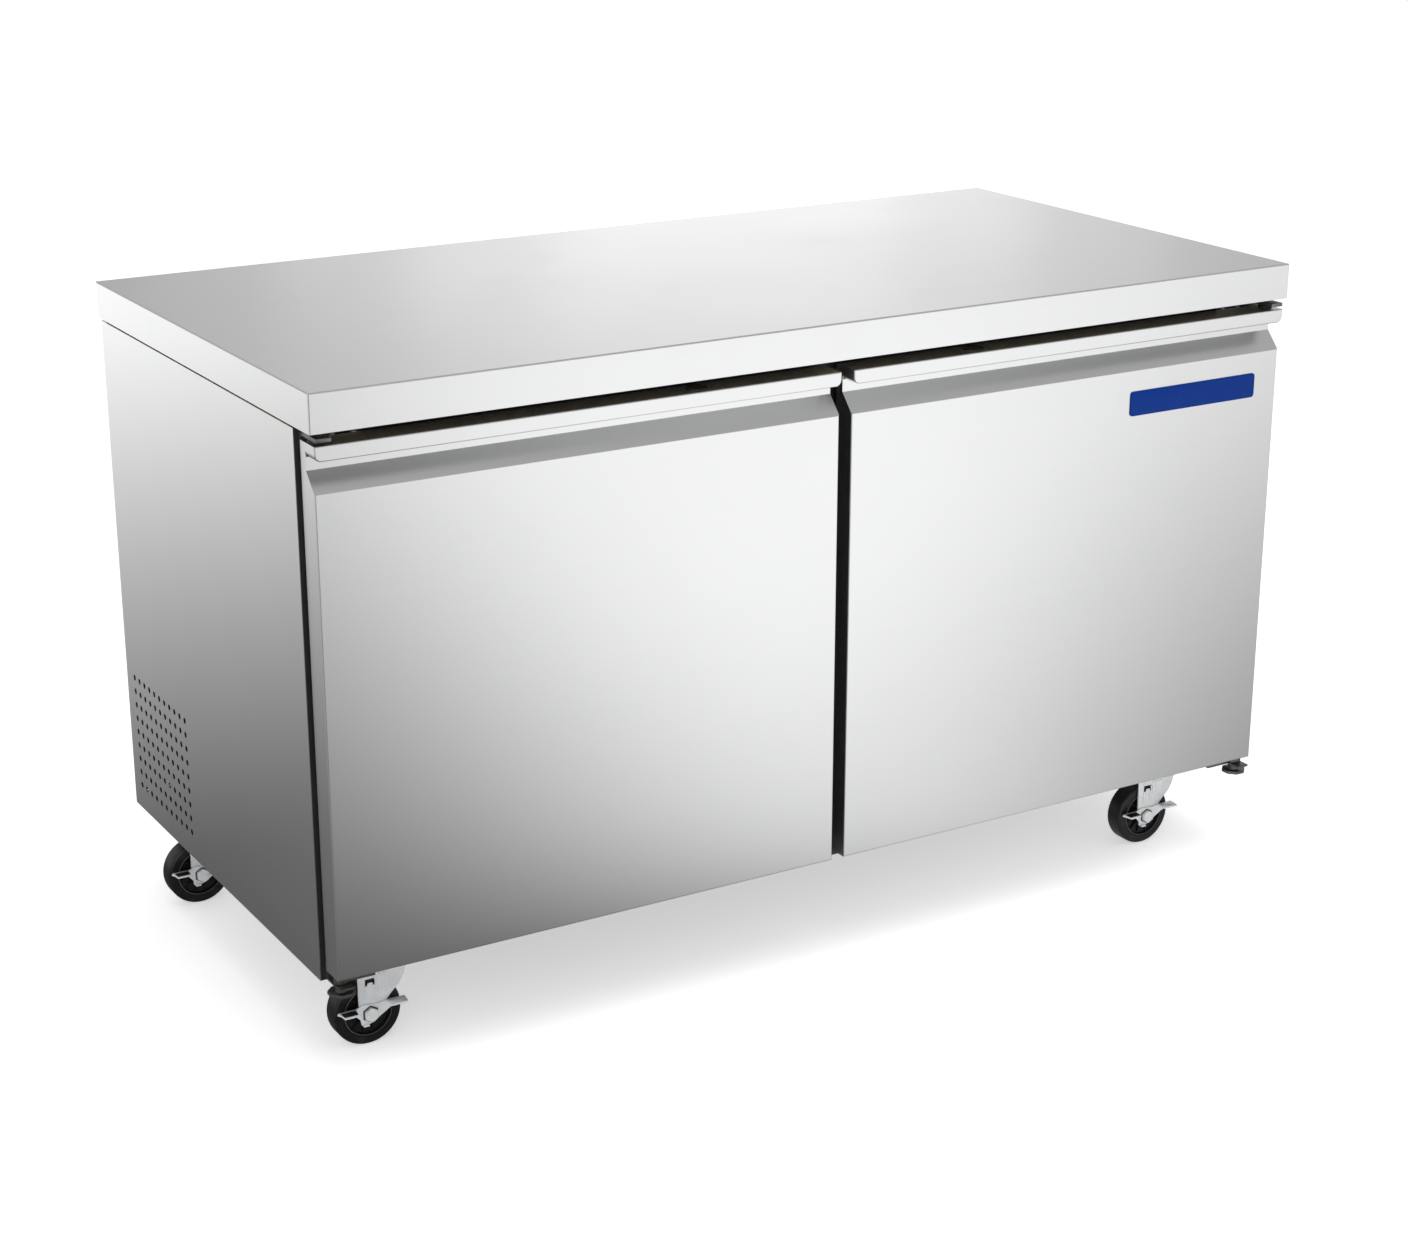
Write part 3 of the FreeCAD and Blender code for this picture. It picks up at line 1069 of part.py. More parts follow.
def wire_shelf():
    """Coated wire shelf of the right-hand side: a rim, cross bars and close wires on top."""
    x0 = MULLION_WIDTH / 4 + SHELF_AIR
    x1 = LINER_X - PILASTER_DEPTH - SHELF_AIR
    y0 = FRAME_Y + MULLION_DEPTH + PILASTER_DEPTH + SHELF_AIR
    y1 = LINER_BACK - 30
    rim = SHELF_RIM / 2
    middle = (x0 + x1) / 2
    corners = [at(x0 + rim, y0 + rim, SHELF_Z), at(x0 + rim, y1 - rim, SHELF_Z),
               at(x1 - rim, y1 - rim, SHELF_Z), at(x1 - rim, y0 + rim, SHELF_Z)]
    seam = at(middle, y0 + rim, SHELF_Z)
    pieces = [pipe([seam] + corners[:2] + [at(middle, y1 - rim, SHELF_Z)], rim, SHELF_BEND),
              pipe([at(middle, y1 - rim, SHELF_Z)] + corners[2:] + [seam], rim, SHELF_BEND)]
    for share in (0.33, 0.67):
        y = y0 + (y1 - y0) * share
        pieces.append(rod(rim - 0.5, at(x0 + rim, y, SHELF_Z), at(x1 - rim, y, SHELF_Z)))
    count = int((x1 - x0 - 2 * SHELF_PITCH) // SHELF_PITCH) + 1
    first = (x0 + x1) / 2 - (count - 1) * SHELF_PITCH / 2
    wire_z = SHELF_Z + rim + SHELF_WIRE / 2 - 0.8
    for i in range(count):
        x = first + i * SHELF_PITCH
        pieces.append(rod(SHELF_WIRE / 2, at(x, y0 + rim - 1.5, wire_z), at(x, y1 - rim + 1.5, wire_z)))
    return joined(pieces)


# ---- fasteners -----------------------------------------------------------------------------
def screw(place, length):
    """Pan-head screw driven towards +Y, with its head's seat at place."""
    head = rod(SCREW_HEAD_RADIUS, place - Y * SCREW_HEAD, place)
    return joined([head, rod(SCREW_RADIUS, place, place + Y * length)])


def fasteners():
    places = top_screw_places() + bottom_screw_places()
    hinge = [screw(p - Y * FLANGE_THICKNESS, FLANGE_THICKNESS - 0.1) for p in places]
    grille = [joined([rod(SCREW_HEAD_RADIUS, p, p + Y * SCREW_HEAD), rod(SCREW_RADIUS, p - Y * 8, p)])
              for p in grille_screw_places()]
    bolts = []
    for p in caster_bolt_places():
        seat = p - Z * PLATE_THICKNESS
        head = sided_bar(BOLT_FLATS, seat - Z * BOLT_HEAD, Z * BOLT_HEAD)
        bolts.append(joined([head, rod(BOLT_RADIUS, seat, p + Z * BOLT_REACH)]))
    return group(both_sides(hinge) + grille + bolts)


# ---- write every sub-part ------------------------------------------------------------------
def main():
    os.makedirs("parts", exist_ok=True)
    save("worktop", worktop())
    save("right_side_panel", side_panel())
    save("left_side_panel", mirrored(side_panel()))
    save("back_panel", back_panel())
    save("base_pan", base_pan())
    save("rear_grille", rear_grille())
    save("cabinet_foam", cabinet_foam())
    save("inner_liner", inner_liner())
    save("breaker_strips", breaker_strips())
    save("center_mullion", center_mullion())
    door = {
        "door_skin": door_skin(),
        "door_foam": door_foam(),
        "door_liner": door_liner(),
        "door_gasket": door_gasket(),
        "door_bushes": door_bushes(),
    }
    for name, shape in door.items():
        save(f"right_{name}", shape)
        save(f"left_{name}", mirrored(shape))
    save("door_badge", door_badge())
    save("top_hinge_brackets", group(both_sides([top_bracket()])))
    save("bottom_hinge_brackets", group(both_sides([bottom_bracket()])))
    save("spring_adjusters", group(both_sides([spring_adjuster()])))
    caster = {
        "fork": caster_fork(),
        "wheel": caster_wheel(),
        "axle": caster_axle(),
        "brake_pedal": brake_pedal(),
    }
    plate = caster_plate()
    save("caster_plates", group([plate.translated(at(x, y, 0)) for x, y in CASTERS.values()]))
    for corner, (x, y) in CASTERS.items():
        for name, shape in caster.items():
            save(f"{corner}_caster_{name}", shape.translated(at(x, y, 0)))
    save("compressor", compressor())
    save("condenser_coil", condenser_coil())
    save("condenser_shroud", condenser_shroud())
    save("condenser_fan_blade", placed(fan_blade(FAN_RADIUS, FAN_BLADES), condenser_fan_centre(), X))
    condenser_motor = fan_motor(CONDENSER_MOTOR_LENGTH, FAN_RADIUS + 14, 12)
    save("condenser_fan_motor", placed(condenser_motor, condenser_fan_centre(), X))
    save("condensate_pan", condensate_pan())
    save("electrical_box", electrical_box())
    save("cord_gland", cord_gland())
    save("refrigerant_lines", refrigerant_lines())
    save("evaporator_cover", evaporator_cover())
    save("evaporator_coil", evaporator_coil())
    evaporator_fan = fan_blade(EVAPORATOR_FAN_RADIUS, FAN_BLADES)
    save("evaporator_fan_blade", placed(evaporator_fan, evaporator_fan_centre(), Y))
    evaporator_motor = fan_motor(EVAPORATOR_MOTOR_LENGTH, EVAPORATOR_FAN_RADIUS - 4, 24)
    save("evaporator_fan_motor", placed(evaporator_motor, evaporator_fan_centre(), Y))
    save("thermostat", thermostat())
    save("thermostat_knob", thermostat_knob())
    save("shelf_pilasters", shelf_pilasters())
    save("shelf_clips", shelf_clips())
    save("wire_shelves", group(both_sides([wire_shelf()])))
    save("fasteners", fasteners())


main()
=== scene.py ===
# Looks of a two-door undercounter refrigerator: finishes, small fittings and a plain studio.
# Metres, in the model's own frame: +X to the right, +Y to the back, +Z up, doors facing -Y.
import json
import math

import bpy
from mathutils import Matrix, Vector

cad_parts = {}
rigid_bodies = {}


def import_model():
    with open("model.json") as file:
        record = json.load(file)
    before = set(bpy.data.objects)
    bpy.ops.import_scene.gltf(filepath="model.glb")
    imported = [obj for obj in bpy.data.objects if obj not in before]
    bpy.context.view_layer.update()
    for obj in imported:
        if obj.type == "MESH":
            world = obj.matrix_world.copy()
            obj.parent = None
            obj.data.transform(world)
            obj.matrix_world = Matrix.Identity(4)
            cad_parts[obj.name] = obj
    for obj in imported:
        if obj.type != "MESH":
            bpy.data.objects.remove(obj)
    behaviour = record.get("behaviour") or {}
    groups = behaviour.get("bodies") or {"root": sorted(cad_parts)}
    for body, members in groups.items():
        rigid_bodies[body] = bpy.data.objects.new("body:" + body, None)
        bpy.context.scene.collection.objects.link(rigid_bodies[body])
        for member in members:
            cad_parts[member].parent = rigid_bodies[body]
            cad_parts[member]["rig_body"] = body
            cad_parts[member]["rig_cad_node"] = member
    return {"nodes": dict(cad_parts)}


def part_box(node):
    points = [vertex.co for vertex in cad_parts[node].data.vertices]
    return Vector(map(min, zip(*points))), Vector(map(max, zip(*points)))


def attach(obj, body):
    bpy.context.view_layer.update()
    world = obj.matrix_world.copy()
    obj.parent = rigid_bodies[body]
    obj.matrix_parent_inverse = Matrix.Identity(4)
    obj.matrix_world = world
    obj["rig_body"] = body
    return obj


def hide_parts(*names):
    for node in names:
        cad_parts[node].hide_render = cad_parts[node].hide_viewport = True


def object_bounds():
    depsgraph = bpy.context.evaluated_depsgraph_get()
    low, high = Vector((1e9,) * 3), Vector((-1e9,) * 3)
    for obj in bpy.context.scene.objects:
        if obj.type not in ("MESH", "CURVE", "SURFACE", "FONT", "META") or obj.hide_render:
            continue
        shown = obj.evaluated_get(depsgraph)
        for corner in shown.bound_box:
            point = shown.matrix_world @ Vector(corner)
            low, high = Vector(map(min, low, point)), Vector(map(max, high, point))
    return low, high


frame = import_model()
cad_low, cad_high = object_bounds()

CASTERS = ("front_left", "front_right", "rear_left", "rear_right")


# ---- camera and studio ---------------------------------------------------------------------
CAMERA_PLACE = (-1.935, -3.261, 1.675)
CAMERA_TURN = 30.73  # degrees to the right of straight ahead
CAMERA_DIP = 18.88  # degrees below level
CAMERA_LENS = 68.7  # millimetres, as is the sensor's width
CAMERA_REACH = 100.0
SENSOR = 36.0
WORLD_GREY = 0.55
FLOOR_SIZE = 90.0
FLOOR_GLOW = 0.5
CARD_SIZE = 16.0
CARD_LIFT = 0.002
CARD_DARK = 0.12  # what the cabinet's foot mirrors
CARD_RISE = 0.2  # gain per metre away from the cabinet's ends
CARD_BACK = 1.7  # how much faster it rises behind the cabinet
CARD_FRONT = 0.05  # and how much slower in front
CARD_FULL = 1.5
STREAK_FROM = (0.2, -0.66)
STREAK_TURN = 26.0  # degrees, direction of the bright streak in front of the doors
STREAK_START = (-0.5, 0.2)  # where it begins softly, measured along it
STREAK_GAIN = 0.89
STREAK_RISE = 0.4  # gain per metre along the streak
STREAK_WIDTH = 0.6
STREAK_SPREAD = 0.22
# A light's place, the point it faces, its width and height, and its brightness.
OVERHEAD_LIGHT = ((0.4, -0.6, 4.6), (0, 0, 0.4), (5.0, 4.0), 1.6)
FRONT_LEFT_LIGHT = ((-4.2, -4.4, 3.2), (0, 0, 0.4), (2.5, 2.5), 2.4)
# The light behind fades towards its ends: four boxes, one behind another, each wider than the last.
BACK_LIGHT_PLACE = Vector((3.7, 6.1, 0))
BACK_LIGHT_RAISED = 1.9
BACK_LIGHT_AIM = (0, 0, 0.9)
BACK_LIGHT_HEIGHT = 2.0
BACK_LIGHT_STEP = 0.03  # how much further away each box stands
BACK_LIGHTS = ((1.4, 0.25), (2.6, 0.35), (3.8, 0.3), (5.0, 0.2))  # width and brightness


def camera():
    data = bpy.data.cameras.new("camera")
    data.lens = CAMERA_LENS
    data.sensor_width = SENSOR
    data.clip_end = CAMERA_REACH
    body = bpy.data.objects.new("camera", data)
    bpy.context.scene.collection.objects.link(body)
    body.location = CAMERA_PLACE
    body.rotation_euler = (math.radians(90 - CAMERA_DIP), 0, math.radians(-CAMERA_TURN))
    bpy.context.scene.camera = body


# ---- shader maths --------------------------------------------------------------------------
class Value:
    """A node's output that takes part in Python arithmetic; each step adds a Math node."""

    def __init__(self, finish, socket):
        self.finish = finish
        self.socket = socket

    def math(self, operation, *others):
        numbers = dict(enumerate((self, *others)))
        return self.finish.node("ShaderNodeMath", {"operation": operation}, numbers)

    def __add__(self, other):
        return self.math("ADD", other)

    def __sub__(self, other):
        return self.math("SUBTRACT", other)

    def __rsub__(self, other):
        return (self * -1) + other

    def __mul__(self, other):
        return self.math("MULTIPLY", other)

    def __truediv__(self, other):
        return self.math("DIVIDE", other)

    def __abs__(self):
        return self.math("ABSOLUTE")

    __radd__ = __add__
    __rmul__ = __mul__

    def between(self, low, high):
        """0 below low, 1 above high, and a soft step from one to the other."""
        ends = {"Value": self, "From Min": low, "From Max": high}
        return self.finish.node("ShaderNodeMapRange", {"interpolation_type": "SMOOTHSTEP"}, ends)


class Finish:
    """One material and the nodes that make it."""

    def __init__(self, name, metallic=0.0, coat=0.0, coat_roughness=0.1):
        self.material = bpy.data.materials.new(name)
        self.material.use_nodes = True
        self.tree = self.material.node_tree
        self.tree.nodes.clear()
        self.shader = self.tree.nodes.new("ShaderNodeBsdfPrincipled")
        self.output = self.tree.nodes.new("ShaderNodeOutputMaterial")
        self.tree.links.new(self.shader.outputs[0], self.output.inputs["Surface"])
        self.shader.inputs["Metallic"].default_value = metallic
        self.shader.inputs["Coat Weight"].default_value = coat
        self.shader.inputs["Coat Roughness"].default_value = coat_roughness
        self.place = self.node("ShaderNodeTexCoord", {}, {}, "Object")

    def feed(self, socket, value):
        if isinstance(value, Value):
            self.tree.links.new(value.socket, socket)
        elif isinstance(value, tuple) and socket.type == "RGBA":
            socket.default_value = (*value, 1.0)
        else:
            socket.default_value = value

    def node(self, kind, settings, inputs, output=0):
        """Adds a node: its settings first, then the values or links of its sockets."""
        made = self.tree.nodes.new(kind)
        for name, value in settings.items():
            setattr(made, name, value)
        for name, value in inputs.items():
            self.feed(made.inputs[name], value)
        return Value(self, made.outputs[output])

    def axes(self):
        parts = self.node("ShaderNodeSeparateXYZ", {}, {0: self.place})
        sockets = parts.socket.node.outputs
        return [Value(self, s) for s in sockets]

    def stretched(self, x, y, z):
        return self.node("ShaderNodeMapping", {}, {"Vector": self.place, "Scale": (x, y, z)})

    def noise(self, scale, detail=2.0, roughness=0.5, vector=None):
        sockets = {"Vector": vector or self.place, "Scale": scale, "Detail": detail, "Roughness": roughness}
        return self.node("ShaderNodeTexNoise", {}, sockets, "Fac")

    def blend(self, share, first, second, clamped=True):
        """A colour between two colours, or past the second one where the share isn't clamped."""
        settings = {"data_type": "RGBA", "clamp_factor": clamped}
        return self.node("ShaderNodeMix", settings, {0: share, 6: first, 7: second}, 2)

    def bump(self, height, depth, strength=1.0):
        sockets = {"Height": height, "Distance": depth, "Strength": strength}
        self.feed(self.shader.inputs["Normal"], self.node("ShaderNodeBump", {}, sockets))

    def set(self, colour, roughness):
        self.feed(self.shader.inputs["Base Color"], colour)
        self.feed(self.shader.inputs["Roughness"], roughness)
        return self.material


# ---- finishes ------------------------------------------------------------------------------
def brushed_stainless(name, grain):
    """Hairline stainless sheet: fine scratches along one axis, faint rolling bands and smudges."""
    f = Finish(name, metallic=1.0)
    fine = {"x": (2, 1600, 1600), "y": (1600, 2, 1600)}[grain]
    wide = {"x": (0.8, 60, 60), "y": (60, 0.8, 60)}[grain]
    hairs = f.noise(1.0, 3, 0.6, f.stretched(*fine))
    bands = f.noise(1.0, 2, 0.5, f.stretched(*wide))
    cloud = f.noise(2.6, 3, 0.5)
    smudge = f.noise(9.0, 4, 0.6).between(0.52, 0.8)
    tone = hairs * 0.35 + bands * 0.25 + cloud * 0.4
    colour = f.blend(tone, (0.655, 0.66, 0.662), (0.69, 0.692, 0.69))
    f.bump(hairs, 0.000002, 0.03)
    return f.set(colour, 0.26 + hairs * 0.006 + cloud * 0.04 + smudge * 0.015)


def galvanized_sheet():
    """Zinc-coated sheet with its spangle."""
    f = Finish("galvanized_sheet", metallic=1.0)
    spangle = f.node("ShaderNodeTexVoronoi", {}, {"Vector": f.place, "Scale": 190.0}, "Color")
    shade = f.node("ShaderNodeSeparateColor", {}, {0: spangle})
    fine = f.noise(420.0, 2)
    cloud = f.noise(5.0, 3)
    colour = f.blend(shade * 0.4 + fine * 0.2 + cloud * 0.4, (0.48, 0.495, 0.51), (0.64, 0.65, 0.66))
    f.bump(fine, 0.00005, 0.3)
    return f.set(colour, 0.36 + shade * 0.07)


def satin_aluminium():
    """Liner sheet, rolled satin with a fine pebble."""
    f = Finish("satin_aluminium", metallic=1.0)
    pebble = f.noise(380.0, 2)
    cloud = f.noise(4.0, 3)
    colour = f.blend(cloud, (0.70, 0.71, 0.72), (0.80, 0.805, 0.81))
    f.bump(pebble, 0.00015, 0.5)
    return f.set(colour, 0.32 + pebble * 0.12)


def coil_aluminium():
    f = Finish("coil_aluminium", metallic=1.0)
    dust = f.noise(30.0, 4)
    colour = f.blend(dust, (0.52, 0.53, 0.54), (0.70, 0.71, 0.72))
    return f.set(colour, 0.34 + dust * 0.2)


def bright_zinc():
    """Clear-passivated zinc plate: bluish with a straw cast in places, lightly scuffed."""
    f = Finish("bright_zinc", metallic=0.35)
    cloud = f.noise(45.0, 3)
    scuff = f.noise(260.0, 4, 0.65)
    tint = f.blend(cloud.between(0.3, 0.7), (0.84, 0.87, 0.90), (0.90, 0.90, 0.89))
    colour = f.blend(scuff.between(0.55, 0.85) * 0.2, tint, (0.66, 0.68, 0.70))
    f.bump(scuff, 0.00002, 0.2)
    return f.set(colour, 0.22 + scuff * 0.08)


def hinge_steel():
    """Steel of the hinge pieces, its dark colour painted shade for where they sit under the doors, worn paler
    here and there.
    """
    f = Finish("hinge_steel", metallic=0.9)
    cloud = f.noise(60.0, 3)
    wear = f.noise(180.0, 4, 0.6).between(0.56, 0.8)
    # the dark end of this blend is painted shade; the pale patches are wear
    colour = f.blend(cloud * 0.6 + wear * 0.4, (0.09, 0.088, 0.085), (0.34, 0.33, 0.31))
    f.bump(wear, 0.00003, 0.3)
    return f.set(colour, 0.3 + cloud * 0.12)


def moulded_plastic(name, dark, light, gloss, grain=700.0):
    """Moulded plastic with a fine stipple."""
    f = Finish(name)
    stipple = f.noise(grain, 2)
    cloud = f.noise(22.0, 3)
    f.bump(stipple, 0.0001, 0.35)
    return f.set(f.blend(cloud, dark, light), gloss + stipple * 0.1 + cloud * 0.06)


def tyre_rubber():
    """Hard rubber tread, a little dusty."""
    f = Finish("tyre_rubber")
    grain = f.noise(900.0, 3)
    dust = f.noise(70.0, 4).between(0.5, 0.8)
    f.bump(grain, 0.00012, 0.4)
    colour = f.blend(dust, (0.006, 0.006, 0.0065), (0.016, 0.016, 0.016))
    return f.set(colour, 0.32 + dust * 0.14 + grain * 0.06)


def door_gasket():
    f = Finish("gasket_vinyl")
    skin = f.noise(500.0, 2)
    cloud = f.noise(14.0, 3)
    f.bump(skin, 0.00008, 0.3)
    return f.set(f.blend(cloud, (0.03, 0.031, 0.033), (0.05, 0.051, 0.054)), 0.42 + skin * 0.1)


def rigid_foam():
    """Cut polyurethane foam."""
    f = Finish("rigid_foam")
    cells = f.node("ShaderNodeTexVoronoi", {}, {"Vector": f.place, "Scale": 900.0}, "Distance")
    cloud = f.noise(12.0, 4)
    f.bump(cells, 0.0004, 0.7)
    return f.set(f.blend(cloud, (0.62, 0.50, 0.24), (0.78, 0.68, 0.42)), 0.82 + cells * 0.1)


def enamel_badge():
    """Blank badge of blue enamel."""
    f = Finish("badge_enamel", coat=0.02, coat_roughness=0.3)
    f.shader.inputs["Specular IOR Level"].default_value = 0.06
    depth = f.noise(60.0, 3)
    blue = f.blend(depth, (0.001, 0.028, 0.215), (0.002, 0.036, 0.245))
    f.bump(f.noise(420.0, 2), 0.00004, 0.3)
    return f.set(blue, 0.45 + depth * 0.08)


def painted_steel(name, dark, light):
    """Gloss paint over pressed steel, with orange peel."""
    f = Finish(name, coat=0.4, coat_roughness=0.12)
    peel = f.noise(320.0, 2)
    dust = f.noise(28.0, 4).between(0.45, 0.85)
    f.bump(peel, 0.00015, 0.4)
    return f.set(f.blend(dust, dark, light), 0.3 + dust * 0.25)


def copper_tube():
    f = Finish("copper_tube", metallic=1.0)
    tarnish = f.noise(38.0, 4).between(0.35, 0.75)
    colour = f.blend(tarnish, (0.78, 0.38, 0.22), (0.42, 0.20, 0.12))
    return f.set(colour, 0.22 + tarnish * 0.22)


def coated_wire():
    """Shelf wire dipped in pale coating."""
    f = Finish("coated_wire", coat=0.2)
    peel = f.noise(500.0, 2)
    cloud = f.noise(18.0, 3)
    f.bump(peel, 0.0001, 0.3)
    return f.set(f.blend(cloud, (0.66, 0.67, 0.67), (0.74, 0.74, 0.73)), 0.34 + peel * 0.1)


stainless_x = brushed_stainless("stainless_grain_x", "x")
stainless_y = brushed_stainless("stainless_grain_y", "y")
galvanized = galvanized_sheet()
aluminium = satin_aluminium()
fins = coil_aluminium()
zinc = bright_zinc()
rubber = tyre_rubber()
vinyl = door_gasket()
foam = rigid_foam()
badge = enamel_badge()
black_paint = painted_steel("black_paint", (0.012, 0.012, 0.013), (0.05, 0.05, 0.052))
shaded_hinge_finish = hinge_steel()
copper = copper_tube()
wire = coated_wire()
black_plastic = moulded_plastic("black_plastic", (0.012, 0.012, 0.013), (0.024, 0.024, 0.026), 0.42)
core_plastic = moulded_plastic("core_plastic", (0.006, 0.006, 0.007), (0.012, 0.012, 0.013), 0.26)
# lighter than the core plastic: a painted highlight on the ring round the wheel's core
ring_plastic = moulded_plastic("ring_plastic", (0.06, 0.06, 0.065), (0.11, 0.11, 0.115), 0.2)
grey_plastic = moulded_plastic("grey_plastic", (0.26, 0.27, 0.28), (0.36, 0.37, 0.38), 0.4)

FINISH_OF_SLOT = {
    "stainless": stainless_x,
    "galvanized": galvanized,
    "liner_aluminium": aluminium,
    "foam": foam,
    "black_plastic": black_plastic,
    "gasket": vinyl,
    "zinc": zinc,
    "tyre": rubber,
    "badge_blue": badge,
    "black_steel": black_paint,
    "coil_aluminium": fins,
    "copper": copper,
    "grey_plastic": grey_plastic,
    "coated_wire": wire,
}
HINGE_NODES = ("top_hinge_brackets", "bottom_hinge_brackets", "spring_adjusters")


def dress_cad_nodes():
    """Gives every CAD node the finish of its material slot."""
    for name, node in frame["nodes"].items():
        slot = node.material_slots[0]
        slot.material = FINISH_OF_SLOT[slot.material.name]
    for name in ("left_side_panel", "right_side_panel"):
        frame["nodes"][name].material_slots[0].material = stainless_y
    for name in HINGE_NODES:
        frame["nodes"][name].material_slots[0].material = shaded_hinge_finish


# ---- modelling helpers ---------------------------------------------------------------------
SHARP_ANGLE = 35  # degrees, edges sharper than this are rounded
SMOOTH_ANGLE = 32
FLAT_ANGLE = 1  # facets that meet flatter than this become one face
MERGE_DISTANCE = 0.000002


def clear_selection():
    if bpy.context.object and bpy.context.object.mode == "EDIT":
        bpy.ops.object.mode_set(mode="OBJECT")
    bpy.ops.object.select_all(action="DESELECT")


def take(piece):
    clear_selection()
    piece.select_set(True)
    bpy.context.view_layer.objects.active = piece


def started(name):
    """Names the primitive just added and puts its place into its mesh."""
    piece = bpy.context.object
    piece.name = name
    piece.data.name = name
    bpy.ops.object.transform_apply(location=True, rotation=True, scale=True)
    return piece


def choose(piece, kind, wanted):
    """Selects the faces or edges that pass a test on their middle and normal, and stays in edit mode."""
    take(piece)
    bpy.ops.object.mode_set(mode="EDIT")
    bpy.ops.mesh.select_mode(type=kind)
    bpy.ops.mesh.select_all(action="DESELECT")
    bpy.ops.object.mode_set(mode="OBJECT")
    points = piece.data.vertices
    if kind == "FACE":
        for face in piece.data.polygons:
            face.select = wanted(face.center, face.normal)
    else:
        for edge in piece.data.edges:
            ends = [points[i].co for i in edge.vertices]
            edge.select = wanted((ends[0] + ends[1]) / 2, (ends[1] - ends[0]).normalized())
    bpy.ops.object.mode_set(mode="EDIT")


def done_editing():
    bpy.ops.object.mode_set(mode="OBJECT")


def bevel_modifier(piece, width, segments):
    """Rounds the piece's sharp edges and applies it."""
    take(piece)
    modifier = piece.modifiers.new("rounding", "BEVEL")
    modifier.width = width
    modifier.segments = segments
    modifier.limit_method = "ANGLE"
    modifier.angle_limit = math.radians(SHARP_ANGLE)
    modifier.use_clamp_overlap = True
    bpy.ops.object.modifier_apply(modifier=modifier.name)


def finish_piece(piece, body, finish, angle=SMOOTH_ANGLE):
    """Smooths a piece, gives it its finish and lets it ride on its body."""
    take(piece)
    bpy.ops.object.shade_smooth_by_angle(angle=math.radians(angle))
    piece.data.materials.clear()
    piece.data.materials.append(finish)
    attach(piece, body)


def copied(piece, name, move=None, turn=None):
    """A copy with its own mesh, turned about the origin and then moved."""
    other = piece.copy()
    other.data = piece.data.copy()
    other.name = name
    other.data.name = name
    bpy.context.scene.collection.objects.link(other)
    if turn:
        other.data.transform(turn)
    if move:
        other.data.transform(Matrix.Translation(move))
    return other


def joined_pieces(pieces, name):
    clear_selection()
    for piece in pieces:
        piece.select_set(True)
    bpy.context.view_layer.objects.active = pieces[0]
    bpy.ops.object.join()
    pieces[0].name = name
    pieces[0].data.name = name
    return pieces[0]


def body_of_node(name):
    return frame["nodes"][name].parent.name.split(":")[1]


def rounded_copy(node, width, finish):
    """Stands for a CAD node with the same shape, its edges broken as a pressing's or casting's are."""
    piece = copied(frame["nodes"][node], node + "_rounded")
    piece.parent = None
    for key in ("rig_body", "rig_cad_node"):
        if key in piece:
            del piece[key]
    take(piece)
    bpy.ops.mesh.customdata_custom_splitnormals_clear()
    bpy.ops.object.mode_set(mode="EDIT")
    bpy.ops.mesh.select_all(action="SELECT")
    bpy.ops.mesh.remove_doubles(threshold=MERGE_DISTANCE)
    bpy.ops.mesh.dissolve_limited(angle_limit=math.radians(FLAT_ANGLE))
    done_editing()
    bevel_modifier(piece, width, 2)
    finish_piece(piece, body_of_node(node), finish)
    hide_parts(node)


# ---- casters -------------------------------------------------------------------------------
ON_AXLE = (math.pi / 2, 0, 0)  # turns a primitive's own axis from Z to Y
NEAR = 1e-4
FACING = 0.9  # a face whose normal has at least this much of a direction looks that way
WHEEL_SIDES = 96
TREAD_SHOULDER = 0.0052
TREAD_SMOOTH_ANGLE = 40
CORE_RING = 0.70  # of the wheel's radius, where the core meets the tread
CORE_MARGIN = 0.0018  # flat of the core outside its bead
CORE_STEPS = (  # inwards from there, each step's width and rise
    (0.0008, -0.0016),  # down into the groove
    (0.0009, 0.0018),  # up the bead
    (0.0009, 0),
    (0.0016, -0.0050),  # down to the web
    (0.0155, -0.0010),  # dished web
    (0.0008, 0.0056),  # up the hub
    (0.0040, 0),
    (0.0006, -0.0012),  # into the hub's mouth
)
RING_SECTION = 0.0007
RING_SUNK = 0.0002
RING_FLATNESS = 0.7
RIB_COUNT = 12
RIB_ENDS = (0.31, 0.62)  # of the wheel's radius
RIB_HEIGHT = 0.0044
RIB_WIDTH = 0.0022
RIB_SUNK = 0.0034  # its middle below the wheel's side
RIB_TOP = (0.94, 1, 0.55)  # how its top narrows
LEG_FACE = 0.0200  # outer face of a fork leg from the wheel's middle
LEG_BEAD = (0.0024, 0.022)  # radius and length
LEG_BEAD_Z = 0.043  # above the axle
LEG_BEAD_SUNK = 0.0004
LEG_BEAD_CROWN = (0.0008, 0.0009)  # how much its ends draw in and rise
LEG_BEADS_X = (0.014, 0.0205, 0.027)
TONGUE_PLACE = (0.001, -LEG_FACE - 0.0019, 0.030)
TONGUE_SIZE = (0.009, 0.0012, 0.018)
TONGUE_NOSE = (0, -0.0008, 0.006)  # how far its end is drawn out
TONGUE_NOSE_MIDDLE = (0.001, -LEG_FACE - 0.0027, 0.045)
TONGUE_NARROWS = 0.7
TONGUE_EDGE = 0.0004
SOCKET_RADIUS = 0.0122
SOCKET_DEPTH = 0.0003
SOCKET_Y = -LEG_FACE - 0.00305
SOCKET_RIM = (0.0012, 0.00005)  # how far in its raised face starts, and how far it rises
GRIP_PLACE = (-0.0325, -LEG_FACE - 0.0105, 0.0108)  # on top of the pedal's left wing, from the axle
GRIP_SIZE = (0.0195, 0.0115, 0.0006)
GRIP_STRIPS = 10  # every second one stands up
GRIP_RIDGE = 0.0005
GRIP_EDGE = 0.00015
CASTER_EDGE = 0.0005  # rounding of the casters' pressings and mouldings


def on_axle(point):
    return math.hypot(point.x, point.z) < NEAR


